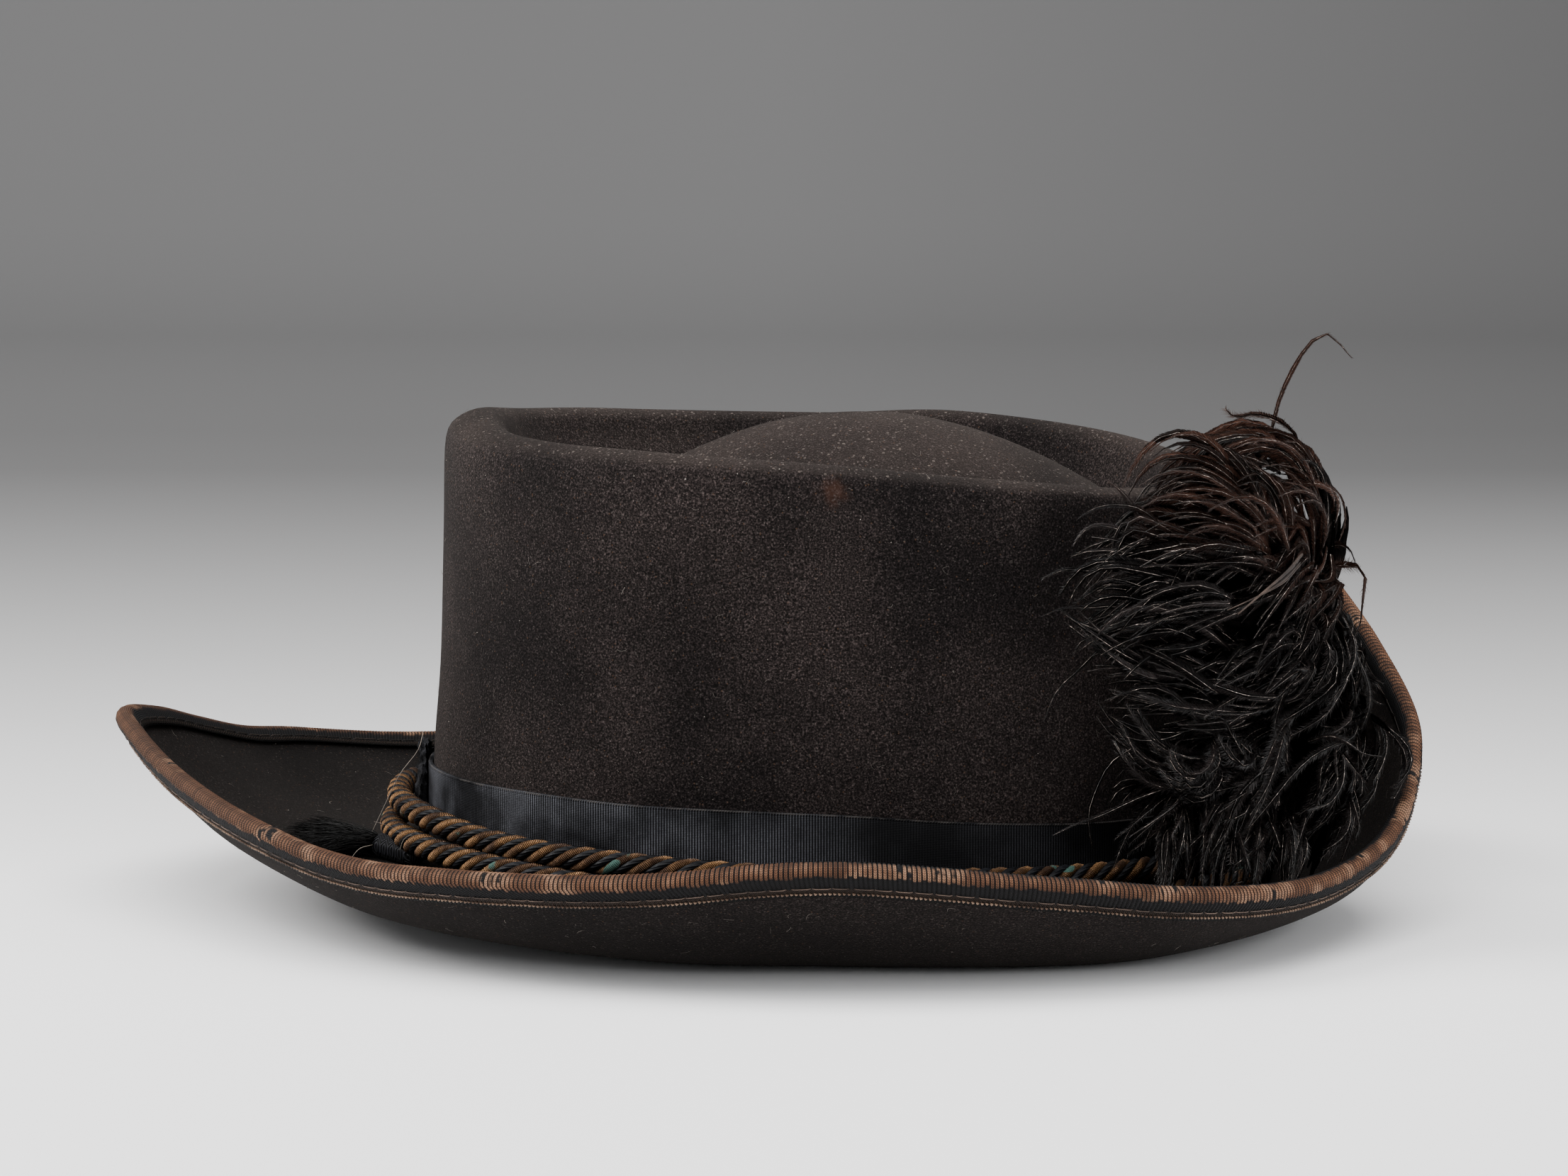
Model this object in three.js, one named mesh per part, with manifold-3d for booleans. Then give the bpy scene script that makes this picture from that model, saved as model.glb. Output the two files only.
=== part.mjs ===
// A mounted officer's felt slouch hat, lying on the underside of its brim.
// Millimetres, +Z up. The front of the hat points along -X, the wearer's left side along -Y.
// The felt, the ribbons and the cords are all lofted through the same sections: vertical planes
// through the middle of the crown, one at each azimuth, counted from the back (+X) towards +Y.
import * as THREE from "three";
import { mergeVertices } from "three/addons/utils/BufferGeometryUtils.js";
import Module from "manifold-3d";

const wasm = await Module();
wasm.setup();

// ---- driving dimensions ----
const stations = 52; // sections round the hat
const gap = 0.3; // air between neighbouring pieces

const felt = { wall: 2.2, halfLength: 102.2, halfWidth: 84, squareness: 2.15, breakWidth: 2.2 };
const crown = { taper: 0.968, waist: 0.9 }; // its top's size against its foot's, its side's draw in
const dome = { top: 122.4, height: 29, halfLength: 74, halfWidth: 56, back: 7.6 };
const groove = { width: 4, depth: 2.5, slopeStart: 6.4 }; // the valley between dome and ridge
const ribbon = { wall: 1.0, bandWidth: 21.2, bandLift: 2.4, legWidth: 6.2 };
const cord = { radius: 3.2, sides: 8 };
const lockShape = { steps: 5, sides: 5, root: 0.3, fullness: 0.82, point: 0.6 };

// Height of the brim's middle surface where it leaves the crown, height of the top of the rolled
// ridge, and the radius that the ridge is rolled to.
const crownTable = [
  { azimuth: 0, breakHeight: 4, ridgeHeight: 109, ridgeRadius: 5 },
  { azimuth: 35, breakHeight: 5, ridgeHeight: 115, ridgeRadius: 5 },
  { azimuth: 65, breakHeight: 7, ridgeHeight: 119, ridgeRadius: 5 },
  { azimuth: 90, breakHeight: 8, ridgeHeight: 118, ridgeRadius: 5 },
  { azimuth: 125, breakHeight: 9, ridgeHeight: 119.5, ridgeRadius: 5.5 },
  { azimuth: 155, breakHeight: 10.5, ridgeHeight: 122, ridgeRadius: 6.5 },
  { azimuth: 180, breakHeight: 10.8, ridgeHeight: 124.2, ridgeRadius: 8 },
  { azimuth: 205, breakHeight: 10.8, ridgeHeight: 120.5, ridgeRadius: 6.5 },
  { azimuth: 235, breakHeight: 9.6, ridgeHeight: 118.6, ridgeRadius: 5.5 },
  { azimuth: 270, breakHeight: 8.2, ridgeHeight: 116, ridgeRadius: 5 },
  { azimuth: 305, breakHeight: 4.6, ridgeHeight: 111, ridgeRadius: 5 },
  { azimuth: 335, breakHeight: 4, ridgeHeight: 107.5, ridgeRadius: 5 },
];

// The brim: how far its bound edge lies from the middle of the crown, that edge's height, the
// slope of the felt, in degrees above level, where it leaves the crown and where it ends, and how
// strongly those two slopes hold.
const brimTable = [
  { azimuth: 0, edgeRadius: 128, edgeHeight: 80, startSlope: -2, endSlope: 108, pull: 0.52 },
  { azimuth: 20, edgeRadius: 138, edgeHeight: 72, startSlope: -4, endSlope: 100, pull: 0.5 },
  { azimuth: 40, edgeRadius: 153, edgeHeight: 46, startSlope: -12, endSlope: 80, pull: 0.46 },
  { azimuth: 60, edgeRadius: 161, edgeHeight: 32, startSlope: -24, endSlope: 58, pull: 0.45 },
  { azimuth: 90, edgeRadius: 160, edgeHeight: 26, startSlope: -28, endSlope: 46, pull: 0.45 },
  { azimuth: 120, edgeRadius: 163, edgeHeight: 22.5, startSlope: -22, endSlope: 36, pull: 0.42 },
  { azimuth: 138, edgeRadius: 165.4, edgeHeight: 25.2, startSlope: -13, endSlope: 34, pull: 0.42 },
  { azimuth: 152, edgeRadius: 168.4, edgeHeight: 30.8, startSlope: -5, endSlope: 35, pull: 0.42 },
  { azimuth: 160, edgeRadius: 171.8, edgeHeight: 34.2, startSlope: -2, endSlope: 40, pull: 0.43 },
  { azimuth: 173, edgeRadius: 179.4, edgeHeight: 44.2, startSlope: 2, endSlope: 50, pull: 0.43 },
  { azimuth: 180, edgeRadius: 183, edgeHeight: 47, startSlope: 3, endSlope: 56, pull: 0.43 },
  { azimuth: 187, edgeRadius: 178.8, edgeHeight: 44.7, startSlope: 2, endSlope: 58, pull: 0.43 },
  { azimuth: 195, edgeRadius: 172.8, edgeHeight: 39.4, startSlope: -1, endSlope: 60, pull: 0.43 },
  { azimuth: 204, edgeRadius: 168.6, edgeHeight: 34.8, startSlope: -3, endSlope: 57, pull: 0.44 },
  { azimuth: 214, edgeRadius: 166.4, edgeHeight: 30.5, startSlope: -6, endSlope: 54, pull: 0.45 },
  { azimuth: 225, edgeRadius: 165.2, edgeHeight: 26.3, startSlope: -11, endSlope: 48, pull: 0.45 },
  { azimuth: 237, edgeRadius: 165, edgeHeight: 26.4, startSlope: -17, endSlope: 45, pull: 0.45 },
  { azimuth: 252, edgeRadius: 163.8, edgeHeight: 27.8, startSlope: -24, endSlope: 44, pull: 0.45 },
  { azimuth: 269, edgeRadius: 161, edgeHeight: 31.8, startSlope: -28, endSlope: 45, pull: 0.45 },
  { azimuth: 288, edgeRadius: 162.4, edgeHeight: 27.2, startSlope: -24, endSlope: 44, pull: 0.44 },
  { azimuth: 303, edgeRadius: 163.4, edgeHeight: 22.1, startSlope: -16, endSlope: 44, pull: 0.42 },
  { azimuth: 320, edgeRadius: 157.4, edgeHeight: 21.2, startSlope: -6, endSlope: 50, pull: 0.41 },
  { azimuth: 336.5, edgeRadius: 153, edgeHeight: 32, startSlope: -3, endSlope: 76, pull: 0.43 },
  { azimuth: 347, edgeRadius: 148, edgeHeight: 52, startSlope: -3, endSlope: 94, pull: 0.48 },
];

// Where the middles of the two strands of the hat cord lie: their distance from the foot of the
// crown, and their height.
const cordTable = [
  { azimuth: 0, lowerOut: 8.8, lowerHeight: 9.8, upperOut: 6, upperHeight: 16.2 },
  { azimuth: 90, lowerOut: 9.2, lowerHeight: 10.6, upperOut: 5.8, upperHeight: 16.8 },
  { azimuth: 140, lowerOut: 9.4, lowerHeight: 13.8, upperOut: 6.2, upperHeight: 20 },
  { azimuth: 165, lowerOut: 10, lowerHeight: 17.6, upperOut: 8, upperHeight: 25.2 },
  { azimuth: 180, lowerOut: 10.6, lowerHeight: 18.2, upperOut: 8.8, upperHeight: 26 },
  { azimuth: 200, lowerOut: 10.6, lowerHeight: 18, upperOut: 8.2, upperHeight: 25.6 },
  { azimuth: 215, lowerOut: 10, lowerHeight: 16.4, upperOut: 7, upperHeight: 22.8 },
  { azimuth: 235, lowerOut: 9.6, lowerHeight: 13.8, upperOut: 6, upperHeight: 19.6 },
  { azimuth: 260, lowerOut: 9.2, lowerHeight: 11.4, upperOut: 5.8, upperHeight: 17.4 },
  { azimuth: 310, lowerOut: 9.2, lowerHeight: 9.4, upperOut: 6, upperHeight: 15.6 },
];

// The bow: a folded ribbon that stands against the band. A row for each fold across the hat gives
// the fold's foot and top heights, how thick it lies, and how far its top leans off the band. The
// fold is thinner at its foot and its top by these shares.
const bow = { back: 0.2, footShare: 0.7, topShare: 0.6 };
const bowTable = [
  { across: 20, foot: 19, top: 29, thick: 1.6, lean: 0 },
  { across: 13, foot: 15.5, top: 35, thick: 2.6, lean: 0.3 },
  { across: 7, foot: 14.5, top: 38.4, thick: 3.4, lean: 0.5 },
  { across: 2, foot: 14.8, top: 35.5, thick: 2.4, lean: 0.2 },
  { across: -3, foot: 14.5, top: 38.8, thick: 3.4, lean: 0.4 },
  { across: -8, foot: 16, top: 33.5, thick: 2.2, lean: 0.1 },
];

// The tassel lies on the brim: its woven head runs from headStart, where a narrower neck joins the
// cords, to headEnd. The locks of its fringe leave a short cap and end at these tips.
const tassel = {
  headStart: [-103.5, -37, 14.2],
  headEnd: [-114.2, -26, 15.3],
  headRadius: 3.1,
  neck: { size: 0.55, share: 0.2 },
  capLength: 2.4,
  lockRadius: 2.3,
};
const fringeTable = [
  { x: -134, y: -6, z: 19.3, rise: 1.6 },
  { x: -138, y: -9, z: 18, rise: 1.4 },
  { x: -140, y: -14, z: 17.2, rise: 1.2 },
  { x: -138, y: -24, z: 16.2, rise: 0.8 },
  { x: -130, y: -35, z: 15.4, rise: 0.5 },
];

// The plume: the quill's route, and the locks that leave it. A lock starts at a share of the
// quill's length, ends at its tip, and its middle is pushed by rise (up) and swell (towards -Y).
const quill = {
  route: [
    [99, -54, 15],
    [112, -50, 36],
    [119, -44, 64],
    [119, -40, 88],
    [121, -44, 104],
    [113, -50, 119],
    [98, -57, 121.5],
    [82, -62, 114],
  ],
  radius: 3.6,
  swell: 0.4, // it thickens towards the node where the plume turns over
  point: 1.1,
};
const plumeTable = [
  { share: 0.78, x: 78, y: -64, z: 106, rise: 9, swell: 4, width: 5 },
  { share: 0.6, x: 66, y: -68, z: 101, rise: 12, swell: 12, width: 7 },
  { share: 0.55, x: 59, y: -74, z: 93, rise: 8, swell: 16, width: 7.5 },
  { share: 0.51, x: 61, y: -78, z: 83, rise: 6, swell: 19, width: 7.5 },
  { share: 0.46, x: 57, y: -82, z: 73, rise: 6, swell: 21, width: 7.5 },
  { share: 0.41, x: 59, y: -85, z: 62, rise: 6, swell: 23, width: 7.5 },
  { share: 0.36, x: 64, y: -87, z: 51, rise: 6, swell: 23, width: 7.5 },
  { share: 0.31, x: 68, y: -89, z: 40, rise: 7, swell: 22, width: 7.5 },
  { share: 0.27, x: 77, y: -91, z: 29, rise: 8, swell: 20, width: 7.5 },
  { share: 0.24, x: 84, y: -94, z: 19, rise: 9, swell: 16, width: 7.5 },
  { share: 0.22, x: 97, y: -97, z: 17, rise: 11, swell: 14, width: 7 },
  { share: 0.24, x: 110, y: -92, z: 18, rise: 12, swell: 12, width: 7 },
  { share: 0.3, x: 122, y: -80, z: 24, rise: 12, swell: 12, width: 6.5 },
  { share: 0.36, x: 130, y: -64, z: 37, rise: 10, swell: 10, width: 6 },
  { share: 0.42, x: 132, y: -52, z: 53, rise: 8, swell: 6, width: 4.5 },
  { share: 0.5, x: 127, y: -46, z: 66, rise: 12, swell: 4, width: 3 },
  { share: 0.8, x: 126, y: -56, z: 140, rise: 24, swell: 0, width: 1.3 },
];

// ---- numbers from the tables ----
const radians = THREE.MathUtils.degToRad;

function polar(radius, turn) {
  return new THREE.Vector2(radius * Math.cos(radians(turn)), radius * Math.sin(radians(turn)));
}

// A smooth closed curve through one column of a table, read at an azimuth in degrees.
function around(table, column, azimuth) {
  const rows = table.length;
  const row = (i) => table[((i % rows) + rows) % rows];
  const angle = (i) => row(i).azimuth + 360 * Math.floor(i / rows);
  const slope = (i) => (row(i + 1)[column] - row(i - 1)[column]) / (angle(i + 1) - angle(i - 1));
  let i = rows - 1;
  while (table[i].azimuth > azimuth) i--;
  const span = angle(i + 1) - angle(i);
  const s = (azimuth - angle(i)) / span;
  return (
    row(i)[column] * (1 + 2 * s) * (1 - s) ** 2 +
    row(i + 1)[column] * s * s * (3 - 2 * s) +
    slope(i) * span * s * (1 - s) ** 2 -
    slope(i + 1) * span * s * s * (1 - s)
  );
}

// Outside of the crown at its foot, measured from the middle.
function crownRadius(azimuth) {
  const along = Math.abs(Math.cos(radians(azimuth))) / felt.halfLength;
  const across = Math.abs(Math.sin(radians(azimuth))) / felt.halfWidth;
  return (along ** felt.squareness + across ** felt.squareness) ** (-1 / felt.squareness);
}

// Distance from the middle of the crown to the foot of the dome, which sits a little to the back.
function domeFoot(azimuth) {
  const c = Math.cos(radians(azimuth));
  const s = Math.sin(radians(azimuth));
  const a = (c / dome.halfLength) ** 2 + (s / dome.halfWidth) ** 2;
  const b = (-2 * c * dome.back) / dome.halfLength ** 2;
  const k = (dome.back / dome.halfLength) ** 2 - 1;
  return (-b + Math.sqrt(b * b - 4 * a * k)) / (2 * a);
}

function domeHeight(radius, azimuth) {
  const x = (radius * Math.cos(radians(azimuth)) - dome.back) / dome.halfLength;
  const y = (radius * Math.sin(radians(azimuth))) / dome.halfWidth;
  return dome.top - dome.height * (x * x + y * y);
}

// ---- the felt's middle surface in one section: points of (distance from the middle, height) ----
function crownSection(azimuth) {
  const base = crownRadius(azimuth) - felt.wall / 2;
  const wallTop = base * crown.taper;
  const roll = around(crownTable, "ridgeRadius", azimuth);
  const top = around(crownTable, "ridgeHeight", azimuth) - felt.wall / 2;
  const bend = new THREE.Vector2(wallTop - roll, top - roll);
  const foot = domeFoot(azimuth);
  const valley = domeHeight(foot, azimuth) - groove.depth;
  const inner = new THREE.Vector2(foot + groove.slopeStart, valley + groove.width / 2);
  const points = [0, 0.3, 0.55, 0.78, 0.94].map(
    (share) => new THREE.Vector2(foot * share, domeHeight(foot * share, azimuth)),
  );
  points.push(new THREE.Vector2(foot + groove.width / 2, valley));
  points.push(inner);
  for (const turn of [180, 135, 90, 45, 0]) points.push(polar(roll, turn).add(bend));
  const rollStart = points.length - 5;
  points.splice(rollStart, 0, inner.clone().lerp(points[rollStart], 0.5));
  // The outer wall: drawn in a little above the ribbon, straight behind it.
  const bandFoot = around(crownTable, "breakHeight", azimuth) + ribbon.bandLift;
  const bandTop = bandFoot + ribbon.bandWidth;
  for (const share of [0.75, 0.5, 0.25]) {
    const height = THREE.MathUtils.lerp(bandTop, bend.y, share);
    const drawn = crown.waist * Math.sin(Math.PI * share);
    points.push(new THREE.Vector2(THREE.MathUtils.lerp(base, wallTop, share) - drawn, height));
  }
  points.push(new THREE.Vector2(base, bandTop));
  points.push(new THREE.Vector2(base, bandFoot));
  return points;
}

// From the crown out to the edge of the brim: one cubic curve in even steps, with a last step as
// wide as the legs of the ribbon that binds the edge.
function brimSection(azimuth) {
  const row = (column) => around(brimTable, column, azimuth);
  const start = new THREE.Vector2(
    crownRadius(azimuth) - felt.wall / 2 + felt.breakWidth,
    around(crownTable, "breakHeight", azimuth),
  );
  const binding = gap + ribbon.wall;
  const end = new THREE.Vector2(row("edgeRadius"), row("edgeHeight"));
  end.sub(polar(felt.wall / 2 + gap + binding, row("endSlope")));
  const reach = start.distanceTo(end) * row("pull");
  const curve = new THREE.CubicBezierCurve(
    start,
    polar(reach, row("startSlope")).add(start),
    polar(-reach, row("endSlope")).add(end),
    end,
  );
  const stop = 1 - ribbon.legWidth / curve.getLength();
  const shares = [0, 0.12, 0.26, 0.4, 0.55, 0.71, 0.87, 1].map((share) => share * stop);
  return [...shares, 1].map((share) => curve.getPointAt(share));
}

const azimuths = Array.from({ length: stations }, (_, i) => (360 * i) / stations);
const middles = azimuths.map((azimuth) => [...crownSection(azimuth), ...brimSection(azimuth)]);
const crownRows = crownSection(0).length;

// A line set off from a section by a distance: up and in where it is positive, down and out where
// it is negative. It never goes below a floor. Each point keeps its row's number in z.
function offsetSection(k, distance, floor = -Infinity) {
  const points = middles[k];
  return points.map((point, row) => {
    const before = points[Math.max(row - 1, 0)];
    const after = points[Math.min(row + 1, points.length - 1)];
    const along = row === 0 ? new THREE.Vector2(1, 0) : after.clone().sub(before).normalize();
    const height = Math.max(point.y + along.x * distance, floor);
    return new THREE.Vector3(point.x - along.y * distance, height, row);
  });
}

// ---- lofting ----
// Adds the faces between neighbouring lines of points. Quads are always split the same way for the
// same rows, so two surfaces that follow each other closely never cross.
function skin(index, lines, first, closed) {
  const count = lines[0].length;
  const last = closed ? count : count - 1;
  lines.forEach((line, k) => {
    const next = (k + 1) % lines.length;
    for (let i = 0; i < last; i++) {
      const j = (i + 1) % count;
      const [a, b] = [first + k * count + i, first + k * count + j];
      const [d, c] = [first + next * count + i, first + next * count + j];
      if (line[j].z >= line[i].z) index.push(a, b, c, a, c, d);
      else index.push(a, b, d, b, c, d);
    }
  });
}

function inSpace(lines) {
  return lines.flatMap((line, k) =>
    line.flatMap((p) => {
      const flat = polar(p.x, azimuths[k]);
      return [flat.x, flat.y, p.y];
    }),
  );
}

// A geometry whose faces point out of the solid that they close.
function outward(positions, index) {
  const at = (i) => new THREE.Vector3().fromArray(positions, 3 * i);
  let volume = 0;
  for (let i = 0; i < index.length; i += 3) {
    volume += at(index[i]).dot(at(index[i + 1]).cross(at(index[i + 2])));
  }
  const geometry = new THREE.BufferGeometry();
  geometry.setAttribute("position", new THREE.Float32BufferAttribute(positions, 3));
  geometry.setIndex(volume < 0 ? index.reverse() : index);
  return geometry;
}

function loftRing(lines) {
  const index = [];
  skin(index, lines, 0, true);
  return outward(inSpace(lines), index);
}

// ---- the pieces that go all the way round ----
// Each takes a clearance, which makes a fatter copy to cut what must stay clear of it.

// The felt body: one blocked felt whose two faces meet at the brim's edge and close in the middle
// of the dome. Where the brim rests, it is pressed flat on the table.
function feltGeometry(clearance = 0) {
  const half = felt.wall / 2 + clearance;
  const lines = middles.map((_, k) => {
    const top = offsetSection(k, half, felt.wall);
    const under = offsetSection(k, -half, -clearance);
    return [...top.slice(1), ...under.slice(1).reverse()];
  });
  const count = lines[0].length;
  const positions = inSpace(lines);
  const pole = positions.length / 3;
  positions.push(0, 0, middles[0][0].y + half, 0, 0, middles[0][0].y - half);
  const index = [];
  skin(index, lines, 0, false);
  lines.forEach((_, k) => {
    const next = (k + 1) % stations;
    index.push(pole, k * count, next * count);
    index.push(pole + 1, next * count + count - 1, k * count + count - 1);
  });
  return outward(positions, index);
}

// The ribbon folded over the edge of the brim.
function bindingGeometry(clearance = 0) {
  const near = felt.wall / 2 + gap - clearance;
  const far = felt.wall / 2 + gap + ribbon.wall + clearance;
  const lines = middles.map((middle, k) => {
    const legs = [far, near, -near, -far].map((distance) => offsetSection(k, distance).slice(-2));
    const [upOut, upIn, downIn, downOut] = legs;
    const edge = middle[middle.length - 1];
    const slope = THREE.MathUtils.radToDeg(edge.clone().sub(middle[middle.length - 2]).angle());
    const fold = (turn, radius) => {
      const p = polar(gap, slope).add(edge).add(polar(radius, slope + turn));
      return new THREE.Vector3(p.x, p.y, middle.length);
    };
    const outside = [60, 0, -60].map((turn) => fold(turn, far));
    const inside = [-90, 90].map((turn) => fold(turn, near));
    return [...upOut, ...outside, ...downOut.reverse(), downIn[0], ...inside, upIn[0]];
  });
  return loftRing(lines);
}

// The ribbon round the foot of the crown.
function bandGeometry(clearance = 0) {
  const near = felt.wall / 2 + gap - clearance;
  const far = near + ribbon.wall + 2 * clearance;
  const lines = middles.map((middle) => {
    const top = middle[crownRows - 2];
    const foot = middle[crownRows - 1];
    return [
      new THREE.Vector3(top.x + near, top.y + clearance, 0),
      new THREE.Vector3(top.x + far, top.y + clearance, 0),
      new THREE.Vector3(top.x + far, foot.y - clearance, 1),
      new THREE.Vector3(top.x + near, foot.y - clearance, 1),
    ];
  });
  return loftRing(lines);
}

function strandGeometry(strand, clearance = 0) {
  const radius = cord.radius + clearance;
  const lines = azimuths.map((azimuth) => {
    const out = crownRadius(azimuth) + around(cordTable, strand + "Out", azimuth);
    const height = around(cordTable, strand + "Height", azimuth);
    return Array.from({ length: cord.sides }, (_, i) => {
      const p = polar(radius, (360 * (i + 0.5)) / cord.sides);
      return new THREE.Vector3(out + p.x, height + p.y, 0);
    });
  });
  return loftRing(lines);
}

// ---- the pieces made of locks ----
const point = (row) => new THREE.Vector3(row.x, row.y, row.z);

// A closed body along a curve. girth gives its radius at each share of the length, and its two
// ends are pointed.
function taperedTube(curve, steps, sides, girth) {
  const frames = curve.computeFrenetFrames(steps, false);
  const positions = curve.getPointAt(0).toArray();
  for (let i = 0; i <= steps; i++) {
    const centre = curve.getPointAt(i / steps);
    for (let j = 0; j < sides; j++) {
      const turn = (2 * Math.PI * j) / sides;
      const arm = frames.normals[i].clone().multiplyScalar(Math.cos(turn));
      arm.addScaledVector(frames.binormals[i], Math.sin(turn));
      positions.push(...centre.clone().addScaledVector(arm, girth(i / steps)).toArray());
    }
  }
  positions.push(...curve.getPointAt(1).toArray());
  const last = positions.length / 3 - 1;
  const index = [];
  for (let j = 0; j < sides; j++) {
    const next = (j + 1) % sides;
    index.push(0, 1 + j, 1 + next);
    index.push(last, last - sides + next, last - sides + j);
    for (let i = 0; i < steps; i++) {
      const [a, b] = [1 + i * sides + j, 1 + i * sides + next];
      index.push(a, a + sides, b, b, a + sides, b + sides);
    }
  }
  return outward(positions, index);
}

// A lock of barbs or silk: thin where it starts, fullest past its middle, fine at its tip.
function lock(start, bulge, tip, width) {
  const curve = new THREE.QuadraticBezierCurve3(start, bulge, tip);
  const girth = (s) => {
    const swell = Math.sin(lockShape.fullness * Math.PI * s);
    return width * THREE.MathUtils.lerp(lockShape.root, 1, swell) * (1 - lockShape.point * s ** 6);
  };
  return taperedTube(curve, lockShape.steps, lockShape.sides, girth);
}

function plumeGeometry() {
  const route = new THREE.CatmullRomCurve3(quill.route.map((p) => new THREE.Vector3(...p)));
  const girth = (s) => quill.radius * (1 + quill.swell * s - quill.point * s ** 6);
  const pieces = [taperedTube(route, 12, 6, girth)];
  for (const row of plumeTable) {
    const start = route.getPointAt(row.share);
    const bulge = start.clone().lerp(point(row), 0.5);
    bulge.z += row.rise;
    bulge.y -= row.swell;
    pieces.push(lock(start, bulge, point(row), row.width));
  }
  return clearOf(fused(pieces), ringPieces);
}

function fringeGeometry() {
  const root = new THREE.Vector3(...tassel.headEnd);
  const along = root.clone().sub(new THREE.Vector3(...tassel.headStart)).normalize();
  const start = root.clone().addScaledVector(along, gap);
  const cap = start.clone().addScaledVector(along, tassel.capLength);
  const inCap = start.clone().lerp(cap, 0.5);
  const pieces = [taperedTube(new THREE.LineCurve3(start, cap), 2, 8, () => tassel.headRadius)];
  for (const row of fringeTable) {
    const bulge = cap.clone().lerp(point(row), 0.5);
    bulge.z += row.rise;
    pieces.push(lock(inCap, bulge, point(row), tassel.lockRadius));
  }
  return clearOf(fused(pieces), ringPieces);
}

function tasselHeadGeometry() {
  const start = new THREE.Vector3(...tassel.headStart);
  const end = new THREE.Vector3(...tassel.headEnd);
  const neck = tassel.neck;
  const girth = (s) =>
    tassel.headRadius * THREE.MathUtils.lerp(neck.size, 1, Math.min(1, s / neck.share));
  return clearOf(solid(taperedTube(new THREE.LineCurve3(start, end), 8, 10, girth)), ringPieces);
}

// The bow's folds stand against the band, from one side of the front to the other.
function bowGeometry() {
  const positions = [];
  for (const row of bowTable) {
    const azimuth = 180 - THREE.MathUtils.radToDeg(Math.atan2(row.across, felt.halfLength));
    const wall = crownRadius(azimuth) + gap + ribbon.wall + gap;
    const middle = (row.foot + row.top) / 2;
    const outline = [
      [bow.back, row.foot],
      [row.thick * bow.footShare, row.foot],
      [row.thick, middle],
      [row.thick * bow.topShare + row.lean, row.top],
      [row.lean, row.top],
      [bow.back, middle],
    ];
    for (const [out, height] of outline) {
      const flat = polar(wall + out, azimuth);
      positions.push(flat.x, flat.y, height);
    }
  }
  const index = [];
  const width = positions.length / 3 / bowTable.length;
  const last = (bowTable.length - 1) * width;
  for (let i = 0; i < width; i++) {
    const j = (i + 1) % width;
    for (let k = 0; k < last; k += width) {
      index.push(k + i, k + j, k + width + j, k + i, k + width + j, k + width + i);
    }
    if (i > 0 && i < width - 1) {
      index.push(0, i + 1, i);
      index.push(last, last + i, last + i + 1);
    }
  }
  return clearOf(solid(outward(positions, index)), ringPieces);
}

// ---- joining and cutting ----
function solid(geometry) {
  const bare = geometry.clone();
  bare.deleteAttribute("normal");
  bare.deleteAttribute("uv");
  const merged = mergeVertices(bare, 1e-3);
  return new wasm.Manifold(
    new wasm.Mesh({
      numProp: 3,
      vertProperties: merged.attributes.position.array,
      triVerts: new Uint32Array(merged.index.array),
    }),
  );
}

function fused(geometries) {
  return geometries.map(solid).reduce((whole, piece) => whole.add(piece));
}

// What is left of a piece clear of its neighbours: the largest of the bodies that the cuts leave.
function clearOf(piece, neighbours) {
  const cut = neighbours.reduce((rest, fatten) => rest.subtract(solid(fatten(gap))), piece);
  const bodies = cut.decompose().sort((a, b) => b.volume() - a.volume());
  const mesh = bodies[0].getMesh();
  const geometry = new THREE.BufferGeometry();
  geometry.setAttribute("position", new THREE.BufferAttribute(mesh.vertProperties, 3));
  geometry.setIndex(new THREE.BufferAttribute(mesh.triVerts, 1));
  return geometry;
}

const upperStrand = (clearance) => strandGeometry("upper", clearance);
const lowerStrand = (clearance) => strandGeometry("lower", clearance);
const ringPieces = [feltGeometry, bindingGeometry, bandGeometry, upperStrand, lowerStrand];

// ---- the assembly ----
const finishes = {
  felt: { color: 0x2b2623, roughness: 0.95, metalness: 0 },
  binding: { color: 0x6b4a38, roughness: 0.8, metalness: 0 },
  band: { color: 0x1f232b, roughness: 0.7, metalness: 0 },
  bow: { color: 0x1a1c20, roughness: 0.75, metalness: 0 },
  cord: { color: 0x6f5432, roughness: 0.55, metalness: 0.3 },
  silk: { color: 0x0e0d0d, roughness: 0.6, metalness: 0 },
  plume: { color: 0x1b1614, roughness: 0.65, metalness: 0 },
};

function part(name, geometry, finish) {
  const mesh = new THREE.Mesh(geometry, new THREE.MeshStandardMaterial(finishes[finish]));
  mesh.name = name;
  return mesh;
}

const hat = new THREE.Group();
hat.add(
  part("felt_body", feltGeometry(), "felt"),
  part("brim_binding", bindingGeometry(), "binding"),
  part("hat_band", bandGeometry(), "band"),
  part("band_bow", bowGeometry(), "bow"),
  part("cord_upper", upperStrand(0), "cord"),
  part("cord_lower", lowerStrand(0), "cord"),
  part("tassel_head", tasselHeadGeometry(), "silk"),
  part("tassel_fringe", fringeGeometry(), "silk"),
  part("plume", plumeGeometry(), "plume"),
);

// The origin is under the middle of the hat's box, on the table.
const middle = new THREE.Box3().setFromObject(hat).getCenter(new THREE.Vector3());
hat.children.forEach((mesh) => mesh.position.set(-middle.x, -middle.y, 0));

export default hat;
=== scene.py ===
import bpy
import math
import random
import numpy as np
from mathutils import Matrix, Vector, noise


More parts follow.
